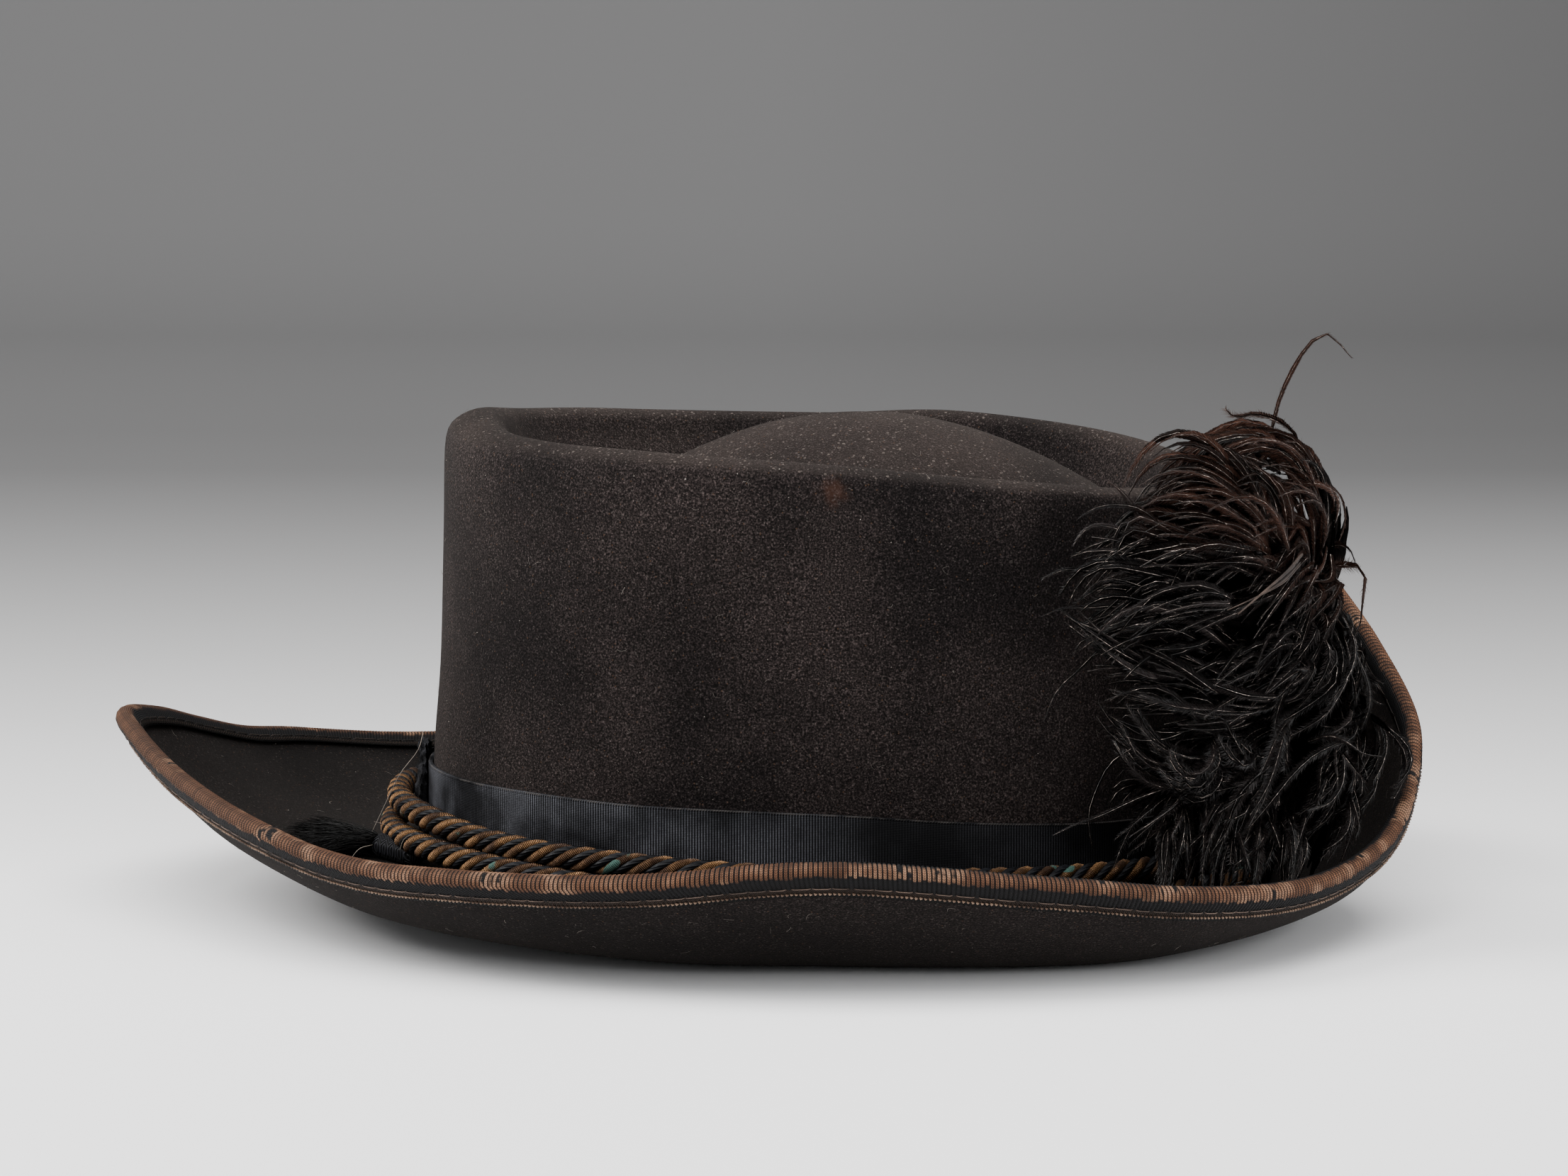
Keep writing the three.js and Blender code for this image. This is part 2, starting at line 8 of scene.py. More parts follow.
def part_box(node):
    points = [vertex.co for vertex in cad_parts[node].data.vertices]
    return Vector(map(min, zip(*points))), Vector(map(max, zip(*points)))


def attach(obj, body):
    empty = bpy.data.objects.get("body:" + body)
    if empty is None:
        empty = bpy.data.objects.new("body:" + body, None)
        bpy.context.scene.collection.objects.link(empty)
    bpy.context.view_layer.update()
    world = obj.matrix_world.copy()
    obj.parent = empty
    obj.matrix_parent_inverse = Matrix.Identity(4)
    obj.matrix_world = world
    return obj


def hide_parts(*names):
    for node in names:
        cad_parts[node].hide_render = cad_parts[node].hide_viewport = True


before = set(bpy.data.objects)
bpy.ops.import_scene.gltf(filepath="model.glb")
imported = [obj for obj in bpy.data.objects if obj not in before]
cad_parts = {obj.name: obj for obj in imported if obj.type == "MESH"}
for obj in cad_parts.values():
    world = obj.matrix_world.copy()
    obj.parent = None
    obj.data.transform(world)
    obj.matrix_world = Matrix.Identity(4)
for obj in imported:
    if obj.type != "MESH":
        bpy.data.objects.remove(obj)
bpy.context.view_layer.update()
bandLow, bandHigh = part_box("hat_band")
crownAxis = np.array([(bandLow.x + bandHigh.x) / 2, (bandLow.y + bandHigh.y) / 2, 0])
mm = 0.001
stations = 52  # sections round the hat in the frame's ring nodes

# camera, floor and light
cameraSettings = {"distance": 1.3, "elevation": 6, "aim": (-0.0122, 0, 0.078), "lens": 116.2}
stageSettings = {"size": 9, "back": 2.6, "height": 4, "bend": 1.2, "tint": (0.955, 0.952, 0.96)}
lightSettings = [
    # name, place, aim, size, power, colour
    ("key", (-2.0, 0.1, 1.75), (0, 0, 0.05), 1.5, 78, (1, 0.99, 0.975)),
    ("overhead", (0.0, -0.3, 2.4), (0, -0.3, 0), 2.8, 80, (1, 0.99, 0.98)),
    ("front", (-0.5, -2.2, 1.9), (0, -0.2, 0.0), 2.0, 29, (0.98, 0.99, 1)),
    ("right", (2.4, -0.5, 0.9), (0, 0, 0.0), 1.4, 30, (0.98, 0.99, 1)),
]
worldGrey = 0.75


def makeCamera():
    tilt = math.radians(cameraSettings["elevation"])
    aim = Vector(cameraSettings["aim"]) + Vector(crownAxis)
    back = Vector((0, -math.cos(tilt), math.sin(tilt)))
    bpy.ops.object.camera_add(
        location=aim + back * cameraSettings["distance"], rotation=(math.pi / 2 - tilt, 0, 0)
    )
    made = bpy.context.object
    made.name = "camera"
    made.data.lens = cameraSettings["lens"]
    made.data.sensor_width = 36
    bpy.context.scene.camera = made


def makeLights():
    for name, place, aim, size, power, colour in lightSettings:
        turn = (Vector(place) - Vector(aim)).to_track_quat("Z", "Y").to_euler()
        bpy.ops.object.light_add(type="AREA", location=place, rotation=turn)
        made = bpy.context.object
        made.name = name
        made.data.size = size
        made.data.energy = power
        made.data.color = colour
    world = bpy.data.worlds.new("studio")
    world.use_nodes = True
    world.node_tree.nodes["Background"].inputs["Color"].default_value = (worldGrey,) * 3 + (1,)
    bpy.context.scene.world = world


# a node's output, which can be added, subtracted and multiplied
class Wire:
    def __init__(self, tree, socket):
        self.tree, self.socket = tree, socket

    def math(self, operation, second=0.0, first=None, clamp=False):
        inputs = {0: self if first is None else first, 1: second}
        return addNode(self.tree, "ShaderNodeMath", inputs, operation=operation, use_clamp=clamp)

    def __add__(self, other):
        return self.math("ADD", other)

    def __sub__(self, other):
        return self.math("SUBTRACT", other)

    def __rsub__(self, other):
        return self.math("SUBTRACT", self, other)

    def __mul__(self, other):
        return self.math("MULTIPLY", other)

    def __abs__(self):
        return self.math("ABSOLUTE")


def feed(socket, value):
    if isinstance(value, Wire):
        value.tree.links.new(value.socket, socket)
    else:
        socket.default_value = value


def addNode(tree, kind, inputs=None, output=0, **settings):
    made = tree.nodes.new(kind)
    for key, value in settings.items():
        setattr(made, key, value)
    for key, value in (inputs or {}).items():
        feed(made.inputs[key], value)
    return Wire(tree, made.outputs[output])


def allOutputs(wire):
    return [Wire(wire.tree, socket) for socket in wire.socket.node.outputs]


def blendColour(share, first, second, mode="MIX"):
    tree = next(item.tree for item in (share, first, second) if isinstance(item, Wire))
    inputs = {0: share, 6: first, 7: second}
    return addNode(tree, "ShaderNodeMix", inputs, 2, data_type="RGBA", blend_type=mode)


def greater(first, second):
    return first.math("MAXIMUM", second)


def sine(value):
    return value.math("SINE")


def ramp(value, low, high, smooth=True):
    inputs = {"Value": value, "From Min": low, "From Max": high}
    kind = "SMOOTHSTEP" if smooth else "LINEAR"
    return addNode(value.tree, "ShaderNodeMapRange", inputs, interpolation_type=kind)


def noiseAt(place, scale, detail, roughness=0.5):
    inputs = {"Vector": place, "Scale": scale, "Detail": detail, "Roughness": roughness}
    return addNode(place.tree, "ShaderNodeTexNoise", inputs, "Fac")


def randomFor(value):
    # one random number for each whole part of a value
    inputs = {"W": value.math("FLOOR")}
    return addNode(value.tree, "ShaderNodeTexWhiteNoise", inputs, "Value", noise_dimensions="1D")


def distanceFrom(place, centre):
    inputs = {0: place, 1: tuple(centre)}
    return addNode(place.tree, "ShaderNodeVectorMath", inputs, "Value", operation="DISTANCE")


def objectPlace(tree):
    return addNode(tree, "ShaderNodeTexCoord", output="Object")


def axisParts(vector):
    return allOutputs(addNode(vector.tree, "ShaderNodeSeparateXYZ", {0: vector}))


def weaveMarks(tree):
    # where a point is along and across a piece's own weave
    return axisParts(addNode(tree, "ShaderNodeUVMap", uv_map="weave"))[:2]


def rgb(*levels):
    # screen values from 0 to 255, made linear
    linear = [level / 255 / 12.92 if level / 255 <= 0.04045
              else ((level / 255 + 0.055) / 1.055) ** 2.4 for level in levels]
    return (*linear, 1)


def newGroup(name, inputs, outputs):
    group = bpy.data.node_groups.new(name, "ShaderNodeTree")
    for label, kind, value in inputs:
        socket = group.interface.new_socket(label, in_out="INPUT", socket_type=kind)
        socket.default_value = value
    for label, kind in outputs:
        group.interface.new_socket(label, in_out="OUTPUT", socket_type=kind)
    enter, leave = group.nodes.new("NodeGroupInput"), group.nodes.new("NodeGroupOutput")
    return group, [Wire(group, socket) for socket in enter.outputs[:len(inputs)]], leave.inputs


def useGroup(tree, group, values):
    return allOutputs(addNode(tree, "ShaderNodeGroup", values, node_tree=group))


# Soft patches and a fine grain of two colours, with a height to match.
def makeMottleGroup():
    number, colour = "NodeSocketFloat", "NodeSocketColor"
    group, (patches, grains, dark, light, amount), leave = newGroup(
        "mottle",
        [("Patch Scale", number, 14.0), ("Grain Scale", number, 1200.0),
         ("Dark", colour, (0, 0, 0, 1)), ("Light", colour, (1, 1, 1, 1)),
         ("Grain Amount", number, 0.4)],
        [("Colour", colour), ("Height", number), ("Patch", number)],
    )
    place = objectPlace(group)
    patch = ramp(noiseAt(place, patches, 4.0, 0.55), 0.34, 0.66)
    grain = noiseAt(place, grains, 3.0, 0.65)
    # the grain brightens and darkens by like shares
    lift = ((grain - 0.5) * amount * 4.0).math("EXPONENT")
    grey = addNode(group, "ShaderNodeCombineColor", {0: lift, 1: lift, 2: lift})
    tone = blendColour(1.0, blendColour(patch, dark, light), grey, "MULTIPLY")
    for k, value in enumerate((tone, grain, patch)):
        feed(leave[k], value)
    return group


# Sparse pale dust: small bright dots where a fine cell pattern is nearest its points.
def makeDustGroup():
    number = "NodeSocketFloat"
    group, (scale, size), leave = newGroup(
        "dust", [("Scale", number, 500.0), ("Size", number, 0.12)], [("Mask", number)]
    )
    inputs = {"Vector": objectPlace(group), "Scale": scale}
    cells = allOutputs(addNode(group, "ShaderNodeTexVoronoi", inputs))
    chosen = addNode(group, "ShaderNodeSeparateColor", {0: cells[1]})
    near = cells[0].math("LESS_THAN", size)
    feed(leave[0], chosen.math("GREATER_THAN", 0.965) * near)
    return group


mottle = makeMottleGroup()
dust = makeDustGroup()


def newMaterial(name, roughness, specular, **more):
    made = bpy.data.materials.new(name)
    made.use_nodes = True
    shader = made.node_tree.nodes["Principled BSDF"].inputs
    for key, value in {"Roughness": roughness, "Specular IOR Level": specular, **more}.items():
        shader[key].default_value = value
    return made, made.node_tree, shader


def addBump(shader, height, distance, strength=1.0):
    inputs = {"Height": height, "Distance": distance, "Strength": strength}
    feed(shader["Normal"], addNode(height.tree, "ShaderNodeBump", inputs))


def paint(shader, colour):
    feed(shader["Base Color"], colour)


def mottleTone(tree, patch, grain, dark, light, amount):
    return useGroup(tree, mottle, {"Patch Scale": patch, "Grain Scale": grain, "Dark": dark,
                                   "Light": light, "Grain Amount": amount})


def mottledMaterial(name, roughness, specular, *tone):
    # a plain material of two mottled colours, and the height of its grain
    made, tree, shader = newMaterial(name, roughness, specular)
    colour, height = mottleTone(tree, *tone)[:2]
    paint(shader, colour)
    return made, shader, height


def threadMaterial(name, dark, light):
    made, shader, height = mottledMaterial(name, 0.65, 0.25, 90.0, 3000.0, dark, light, 0.5)
    addBump(shader, height, 0.0001, 0.6)
    return made


def addSpecks(colour, specks, where=None):
    for scale, size, amount, tint in specks:
        mask = useGroup(colour.tree, dust, {"Scale": scale, "Size": size})[0]
        share = amount if where is None else where * amount
        colour = blendColour(mask * share, colour, tint)
    return colour


def spotMask(place, centre, ragged, outer, inner):
    # a spot about a point in metres, with a ragged edge
    return ramp(distanceFrom(place, centre) + ragged, outer, inner)


# mesh helpers, with points in millimetres about the crown's axis
def newPiece(name, points, faces, material, uvs=None, smooth=True):
    mesh = bpy.data.meshes.new(name)
    spots = np.asarray(points, float).reshape(-1, 3) * mm + crownAxis
    mesh.from_pydata(spots.tolist(), [], [tuple(face) for face in faces])
    if uvs is not None:
        layer = mesh.uv_layers.new(name="weave")
        layer.data.foreach_set("uv", np.asarray(uvs, np.float32).ravel())
    if smooth:
        mesh.shade_smooth()
    mesh.materials.append(material)
    mesh.update()
    made = bpy.data.objects.new(name, mesh)
    bpy.context.scene.collection.objects.link(made)
    return made


# A net of points closed on itself both ways; marks give its UV along rows and columns.
def netFaces(net, rowMarks, columnMarks):
    rows, columns = net.shape[:2]
    i, j = gridPairs(rows, columns)
    corners = ((i, j), (i + 1, j), (i + 1, j + 1), (i, j + 1))
    faces = np.stack([(a % rows) * columns + (b % columns) for a, b in corners], 1)
    uvs = np.stack([np.stack([rowMarks[a], columnMarks[b]], 1) for a, b in corners], 1)
    return facingOut(net.reshape(-1, 3), faces, uvs)


def netPiece(name, net, rowMarks, columnMarks, material):
    faces, uvs = netFaces(net, np.asarray(rowMarks), np.asarray(columnMarks))
    return newPiece(name, net, faces, material, uvs)


def gridPairs(rows, columns):
    pairs = np.meshgrid(np.arange(rows), np.arange(columns), indexing="ij")
    return [part.ravel() for part in pairs]


def facingOut(points, faces, uvs):
    a, b, c, d = (points[faces[:, k]] for k in range(4))
    volume = np.sum(np.cross(b - a, d - a) * a) + np.sum(np.cross(c - b, d - b) * b)
    return (faces[:, ::-1], uvs[:, ::-1]) if volume < 0 else (faces, uvs)


def throughPoints(p, t):
    # a smooth curve from the second of four points to the third
    return 0.5 * (
        2 * p[1]
        + (p[2] - p[0]) * t
        + (2 * p[0] - 5 * p[1] + 4 * p[2] - p[3]) * t**2
        + (3 * p[1] - p[0] - 3 * p[2] + p[3]) * t**3
    )


def around(values, turns):
    # a smooth closed curve through one value per station, read at turns from 0 to 1
    values = np.asarray(values, float)
    place = np.asarray(turns) % 1 * len(values)
    index = np.floor(place).astype(int)
    p = [values[(index + k) % len(values)] for k in (-1, 0, 1, 2)]
    return throughPoints(p, place - index)


def readVectors(items, name):
    values = np.zeros(len(items) * 3)
    items.foreach_get(name, values)
    return values.reshape(-1, 3)


# A ring node's points as (distance from the axis, height) in millimetres, which point each of its
# vertices is, and which station each point is at.
def ringPoints(nodeName, digits):
    spots = readVectors(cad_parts[nodeName].data.vertices, "co") - crownAxis
    spots, index = np.unique(np.round(spots / mm, digits), axis=0, return_inverse=True)
    turn = np.arctan2(spots[:, 1], spots[:, 0]) / (2 * math.pi)
    station = np.round(turn * stations).astype(int) % stations
    return np.stack([np.hypot(spots[:, 0], spots[:, 1]), spots[:, 2]], 1), index.ravel(), station


def sectionPoints(nodeName):
    flat, _, station = ringPoints(nodeName, 2)
    return [flat[station == k] for k in range(stations)]


def onRing(radius, height, turns):
    angle = np.asarray(turns) * 2 * math.pi
    return np.stack([radius * np.cos(angle), radius * np.sin(angle), height + 0 * angle], -1)


def runAlong(path):
    # the distance along a path at each of its points
    return np.concatenate([[0], np.cumsum(np.linalg.norm(np.diff(path, axis=0), axis=1))])


def evenTurns(radius, height, count):
    # turns that step evenly along a ring, and its length
    fine = np.linspace(0, 1, 4001)
    run = runAlong(onRing(around(radius, fine), around(height, fine), fine))
    return np.interp(np.arange(count) / count * run[-1], run, fine), run[-1]


def ringLength(radius, height):
    return evenTurns(radius, height, 1)[1]


def unit(vectors):
    return vectors / np.maximum(np.linalg.norm(vectors, axis=-1, keepdims=True), 1e-9)


def smoothPath(points, count):
    # an open smooth curve through a few points
    points = np.asarray(points, float)
    padded = np.vstack([2 * points[0] - points[1], points, 2 * points[-1] - points[-2]])
    place = np.linspace(0, len(points) - 1, count)
    index = np.minimum(place.astype(int), len(points) - 2)
    return throughPoints([padded[index + k] for k in range(4)], (place - index)[:, None])


def pathFrames(path):
    # the direction of a path and two directions across it, turned to the plane it bends in
    along = unit(np.gradient(path, axis=0))
    plane = np.linalg.svd(path - path.mean(0), full_matrices=False)[2][2]
    side = unit(np.cross(along, plane))
    return along, side, np.cross(side, along)


def turned(side, up, angle):
    return side * np.cos(angle)[:, None] + up * np.sin(angle)[:, None]


def circles(side, up, sides):
    # a unit circle across each point of a path
    turn = np.arange(sides) / sides * 2 * math.pi
    return side[:, None] * np.cos(turn)[None, :, None] + up[:, None] * np.sin(turn)[None, :, None]


def grown(value, start, over):
    # 0 up to the start, then growing to 1 over some distance
    return np.clip((value - start) / over, 0, 1)


def tubeParts(path, radii, sides):
    # points and faces of one closed tube; radii may be one number or one for each point
    radii = np.broadcast_to(np.asarray(radii, float), (len(path),))
    ring = circles(*pathFrames(path)[1:], sides)
    points = (path[:, None] + ring * radii[:, None, None]).reshape(-1, 3)
    i, j = gridPairs(len(path) - 1, sides)
    j2 = (j + 1) % sides
    body = np.stack([i * sides + j, i * sides + j2, (i + 1) * sides + j2, (i + 1) * sides + j], 1)
    first = tuple(range(sides))[::-1]
    last = tuple(range((len(path) - 1) * sides, len(path) * sides))
    return points, [tuple(face) for face in body.tolist()] + [first, last]


def joinTubes(tubes):
    points, faces, start = [], [], 0
    for spots, quads in tubes:
        points.append(spots)
        faces.extend(tuple(k + start for k in face) for face in quads)
        start += len(spots)
    return np.concatenate(points), faces


def keep(piece, slotName, *nodes):
    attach(piece, "root")
    if nodes:
        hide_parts(*nodes)


def tubePiece(name, tubes, material, slotName, *nodes):
    points, faces = joinTubes(tubes)
    piece = newPiece(name, points, faces, material)
    keep(piece, slotName, *nodes)
    return piece


feltSettings = {
    "levels": 2,
    "dentSize": 34,  # millimetres from one soft dent to the next
    "dentDepth": 0.45,
    "crownRadius": 106,
    "crownFree": (40, 20),  # dents grow with height on the crown, from where and over how much
    "brimFree": (-158, 8),  # and inward from the brim's edge
    "sheen": {"Sheen Weight": 0.04, "Sheen Roughness": 0.45, "Sheen Tint": (0.75, 0.66, 0.6, 1)},
    "tone": (19.0, 2100.0, rgb(17, 14, 14), rgb(33, 28, 27), 2.3),  # patch, grain, colours, amount
    "dusty": rgb(56, 48, 44),
    "rust": rgb(72, 47, 36),
    # cells per metre, share of a cell, strength, colour
    "flecks": [(620.0, 0.08, 0.22, rgb(150, 142, 132)), (1500.0, 0.34, 0.2, rgb(112, 84, 64)),
               (2100.0, 0.5, 0.25, rgb(92, 86, 82))],
    "dust": [(800.0, 0.3, 0.3, rgb(128, 118, 110)), (1300.0, 0.45, 0.5, rgb(104, 94, 88)),
             (1900.0, 0.5, 0.5, rgb(96, 88, 84))],
    # place about the crown's axis, size, strength
    "stains": [((-0.5, -82, 110), 7, 0.4), ((-56, -68, 66), 2.0, 0.9)],
}


def copyNode(nodeName, pieceName):
    bpy.ops.object.select_all(action="DESELECT")
    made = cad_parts[nodeName].copy()
    made.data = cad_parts[nodeName].data.copy()
    made.name = pieceName
    made.data.name = pieceName
    made.parent = None
    for key in list(made.keys()):
        del made[key]
    bpy.context.scene.collection.objects.link(made)
    made.select_set(True)
    bpy.context.view_layer.objects.active = made
    bpy.ops.object.mode_set(mode="EDIT")
    bpy.ops.mesh.select_all(action="SELECT")
    bpy.ops.mesh.remove_doubles(threshold=1e-5)
    bpy.ops.mesh.tris_convert_to_quads(face_threshold=math.radians(60), shape_threshold=math.pi)
    bpy.ops.object.mode_set(mode="OBJECT")
    made.data.materials.clear()
    return made


def cutFiner(**cuts):
    # cuts every face of the piece just copied
    bpy.ops.object.mode_set(mode="EDIT")
    bpy.ops.mesh.select_all(action="SELECT")
    bpy.ops.mesh.subdivide(**cuts)
    bpy.ops.object.mode_set(mode="OBJECT")


def writePoints(mesh, spots):
    mesh.vertices.foreach_set("co", np.asarray(spots, np.float32).ravel())
    mesh.update()


def subdivide(piece, levels):
    # the cage is first pushed out so that the smooth surface passes through its corners
    cage = readVectors(piece.data.vertices, "co")
    goal = cage.copy()
    modifier = piece.modifiers.new("smooth", "SUBSURF")
    modifier.levels = modifier.render_levels = levels
    for _ in range(2):
        graph = bpy.context.evaluated_depsgraph_get()
        made = piece.evaluated_get(graph).to_mesh()
        reached = readVectors(made.vertices, "co")[: len(cage)]
        piece.evaluated_get(graph).to_mesh_clear()
        cage = cage + (goal - reached)
        writePoints(piece.data, cage)
        bpy.context.view_layer.update()
    bpy.context.view_layer.objects.active = piece
    bpy.ops.object.modifier_apply(modifier=modifier.name)
    piece.data.shade_smooth()


def makeFelt():
    look = feltSettings
    piece = copyNode("felt_body", "felt_hat")
    subdivide(piece, look["levels"])
    vertices = piece.data.vertices
    local = (readVectors(vertices, "co") - crownAxis) / mm
    radius, height = np.hypot(local[:, 0], local[:, 1]), local[:, 2]
    free = np.where(radius < look["crownRadius"], grown(height, *look["crownFree"]), 0.5)
    free *= np.where(height < 100, grown(-radius, *look["brimFree"]), 1)
    dents = np.array([noise.noise(Vector(spot / look["dentSize"])) for spot in local])
    local += readVectors(vertices, "normal") * (dents * look["dentDepth"] * free)[:, None]
    local[:, 2] = np.maximum(local[:, 2], 0)
    writePoints(piece.data, local * mm + crownAxis)
    piece.data.materials.append(feltMaterial())
    keep(piece, "felt", "felt_body")
    print("felt:", len(piece.data.polygons), "faces")
    return piece


def feltMaterial():
    look = feltSettings
    made, tree, shader = newMaterial("fur_felt", 0.92, 0.08, **look["sheen"])
    tone, grain, patch = mottleTone(tree, *look["tone"])
    place = objectPlace(tree)
    up = axisParts(addNode(tree, "ShaderNodeNewGeometry", output="Normal"))[2]
    # painted shade: the felt is darkened where it faces down, where it faces up and over the brim
    level = addNode(tree, "ShaderNodeVectorMath", {0: place, 1: (1, 1, 0)}, operation="MULTIPLY")
    brim = ramp(distanceFrom(level, crownAxis), 0.104, 0.116) * (ramp(up, 0.0, 0.5) * 0.2 + 0.56)
    paintedFeltShade = greater(greater(ramp(up, 0.05, -0.55) * 0.5, brim), ramp(up, 0.3, 0.95) * 0.2)
    colour = blendColour(paintedFeltShade, tone, (0, 0, 0, 1))
    # dust has settled on the top
    settled = ramp(up, 0.15, 1.0) * ramp(axisParts(place)[2], 0.07, 0.1)
    colour = blendColour(settled * (patch + 0.5) * 0.2, colour, look["dusty"])
    ragged = noiseAt(place, 420.0, 3.0)
    for spot, size, amount in look["stains"]:
        centre, reach = np.array(spot) * mm + crownAxis, size * mm
        mask = spotMask(place, centre, ragged * reach, reach * 1.25, reach * 0.45)
        colour = blendColour(mask * amount, colour, look["rust"])
    colour = addSpecks(colour, look["flecks"])
    paint(shader, addSpecks(colour, look["dust"], settled))
    addBump(shader, grain, 0.0004, 0.7)
    return made


# Each station's points as (distance from the axis, height), walked clockwise as one loop that
# starts where the loop's edge lengths best match the pattern given.
def ringSections(nodeName, pattern):
    flat, index, station = ringPoints(nodeName, 4)
    nextTo = {}
    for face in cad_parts[nodeName].data.polygons:
        corners = [index[k] for k in face.vertices]
        for a, b in zip(corners, corners[1:] + corners[:1]):
            if a != b and station[a] == station[b]:
                nextTo.setdefault(a, set()).add(b)
                nextTo.setdefault(b, set()).add(a)
    pattern = np.array(pattern)
    loops = []
    for k in range(stations):
        start = next(i for i in nextTo if station[i] == k)
        loop = [start, min(nextTo[start])]
        while len(loop) < len(pattern):
            loop.append(next(i for i in nextTo[loop[-1]] if i != loop[-2]))
        points = flat[loop]
        after = np.roll(points, -1, 0)
        if np.sum(points[:, 0] * after[:, 1] - points[:, 1] * after[:, 0]) > 0:
            points = points[::-1]
        lengths = np.linalg.norm(np.roll(points, -1, 0) - points, axis=1)
        fits = [np.sum((np.roll(lengths, -s) - pattern) ** 2) for s in range(len(pattern))]
        loops.append(np.roll(points, -int(np.argmin(fits)), 0))
    return np.array(loops)


bindingSettings = {
    "pattern": [6.2, 1.5, 2.4, 2.4, 1.5, 6.2, 1.0, 6.5, 2.8, 6.5, 1.0],  # a section's edge lengths
    "foldRadius": 2.4,
    "foldIn": 0.3,
    "ribPitch": 1.12,
    "across": (-0.3, 0.06, 0.06),  # height of a rib at its three lines
    "rows": (0, 1.2, 2.5, 3.8, 5.2, 6.7, 7.4, 9.3),  # down from the fold's edge
    "inside": {6: 11, 7: 18, 8: 20, 9: 27},  # a section's inner points and their marks
    "slantFrom": 2.9,
    "slantTo": 6.8,
    "lean": (0.12, 0.8),  # from the side and the rear to the front
    "leanFrom": (0.26, 0.07),  # share of a turn from the rear, and over how much
    "stitchAt": 7.1,
    "stitchStep": 5.0,
    "stitchLength": 4.35,
    "stitchDrop": 0.1,
    "stitchRadius": 0.14,
    "stitchPoints": 7,
    "stitchSag": (-0.04, 0.06),
    "stitchShare": (0.85, 1.08),  # of its length
    "stitchRise": 0.21,
    "hemDrop": 0.16,
    "hemRibs": 0.45,
    "selvageAt": 9.1,
    "bead": ((-0.37, -0.14, -0.12), (-0.05, -0.02, 0.1), (0.35, 0.12, -0.1)),  # over, down, off
    "beadRadii": (0.18, 0.33, 0.16),
    "beadShare": (0.85, 1.15),  # of its size
    "copper": (rgb(58, 36, 25), rgb(139, 97, 71)),
    # painted shade toward the copper's border and on the inner leg
    "paintedLightFalloff": rgb(44, 27, 20),
    "grime": rgb(52, 38, 31),
    # the colour of the painted glints
    "paintedGlint": rgb(196, 154, 124),
    "navy": (rgb(6, 6, 8), rgb(15, 16, 18)),
    # painted shade along the threads' twist and in the grooves between the ribs
    "shade": rgb(24, 15, 11),
    "groove": rgb(5, 4, 4),
    "hem": (rgb(9, 7, 6), rgb(58, 45, 37)),
    "hemFoot": rgb(7, 6, 5),
    "selvage": (rgb(62, 47, 38), rgb(124, 102, 86)),
    # side of the fold, end of the name, dark and light thread of each row
    "stitches": [(1, "", rgb(58, 48, 42), rgb(98, 82, 72)),
                 (-1, "_inside", rgb(26, 21, 18), rgb(60, 49, 42))],
}


# One surface for the ribbon's outside: distance along it from the fold's edge (minus is the upper
# leg), and how far off it, give a place in each station's section.
def bindingSurface():
    look = bindingSettings
    loops = ringSections("brim_binding", look["pattern"])
    outward = unit(loops[:, 1] - loops[:, 0])
    upward = np.stack([-outward[:, 1], outward[:, 0]], 1)
    middle = (loops[:, 1] + loops[:, 5]) / 2 + outward * look["foldIn"]
    radius = look["foldRadius"]
    quarter = radius * math.pi / 2

    def place(along, off):
        side = -1 if along > 0 else 1
        far = abs(along)
        if far < quarter:
            turn = far / radius
            toward = outward * math.cos(turn) + upward * side * math.sin(turn)
            return middle + toward * (radius + off)
        # a leg may not be square to the fold, so its own line is followed
        end = loops[:, 5] if along > 0 else loops[:, 0]
        line = unit(end - middle - upward * side * radius)
        return middle + upward * side * (radius + off) + line * (far - quarter)

    return place, loops


def leanAt(turns):
    # the ribs slant where the brim sweeps up to the front
    least, greatest = bindingSettings["lean"]
    fromRear = np.abs((np.asarray(turns) + 0.5) % 1 - 0.5)
    return least + (greatest - least) * grown(fromRear, *bindingSettings["leanFrom"])


def readPair(pair, turns):
    # distances from the axis and heights at some turns
    return np.stack([around(pair[:, k], turns) for k in range(2)], 1)


def ringRow(pair, turns):
    return onRing(pair[:, 0], pair[:, 1], turns)


def makeBinding():
    look = bindingSettings
    place, loops = bindingSurface()
    edge = place(0, 0)
    length = ringLength(*edge.T)
    ribs = round(length / look["ribPitch"])
    lines = len(look["across"])
    turns = evenTurns(*edge.T, ribs * lines)[0]
    heights = np.tile(look["across"], ribs)
    lean = leanAt(turns)
    slide = look["slantTo"] - look["slantFrom"]
    marks = [-row for row in look["rows"][:0:-1]] + list(look["rows"])
    rows = []
    for along in marks:
        far = abs(along)
        past = far - look["stitchAt"]
        shifted = turns + min(max(far - look["slantFrom"], 0), slide) * lean / length
        base = readPair(place(along, 0), shifted)
        top = readPair(place(along, 1), shifted)
        drop = look["hemDrop"] if past > 0 else (look["stitchDrop"] if past > -0.6 else 0)
        thin = look["hemRibs"] if past > 0.2 else 1
        rows.append(ringRow(base + (top - base) * (heights * thin - drop)[:, None], shifted))
    shifted = turns + slide * lean / length
    for k, mark in look["inside"].items():
        rows.append(ringRow(readPair(loops[:, k], shifted), shifted))
        marks.append(mark)
    columnMarks = np.arange(ribs * lines + 1) / lines
    piece = netPiece(
        "rolled_binding", np.array(rows), marks + [marks[-1] + 1], columnMarks, bindingMaterial()
    )
    keep(piece, "binding", "brim_binding")
    print("binding:", ribs, "ribs,", len(piece.data.polygons), "faces")
    makeStitches(place, length)
    makeSelvage(place, ribs, turns[::lines], length)


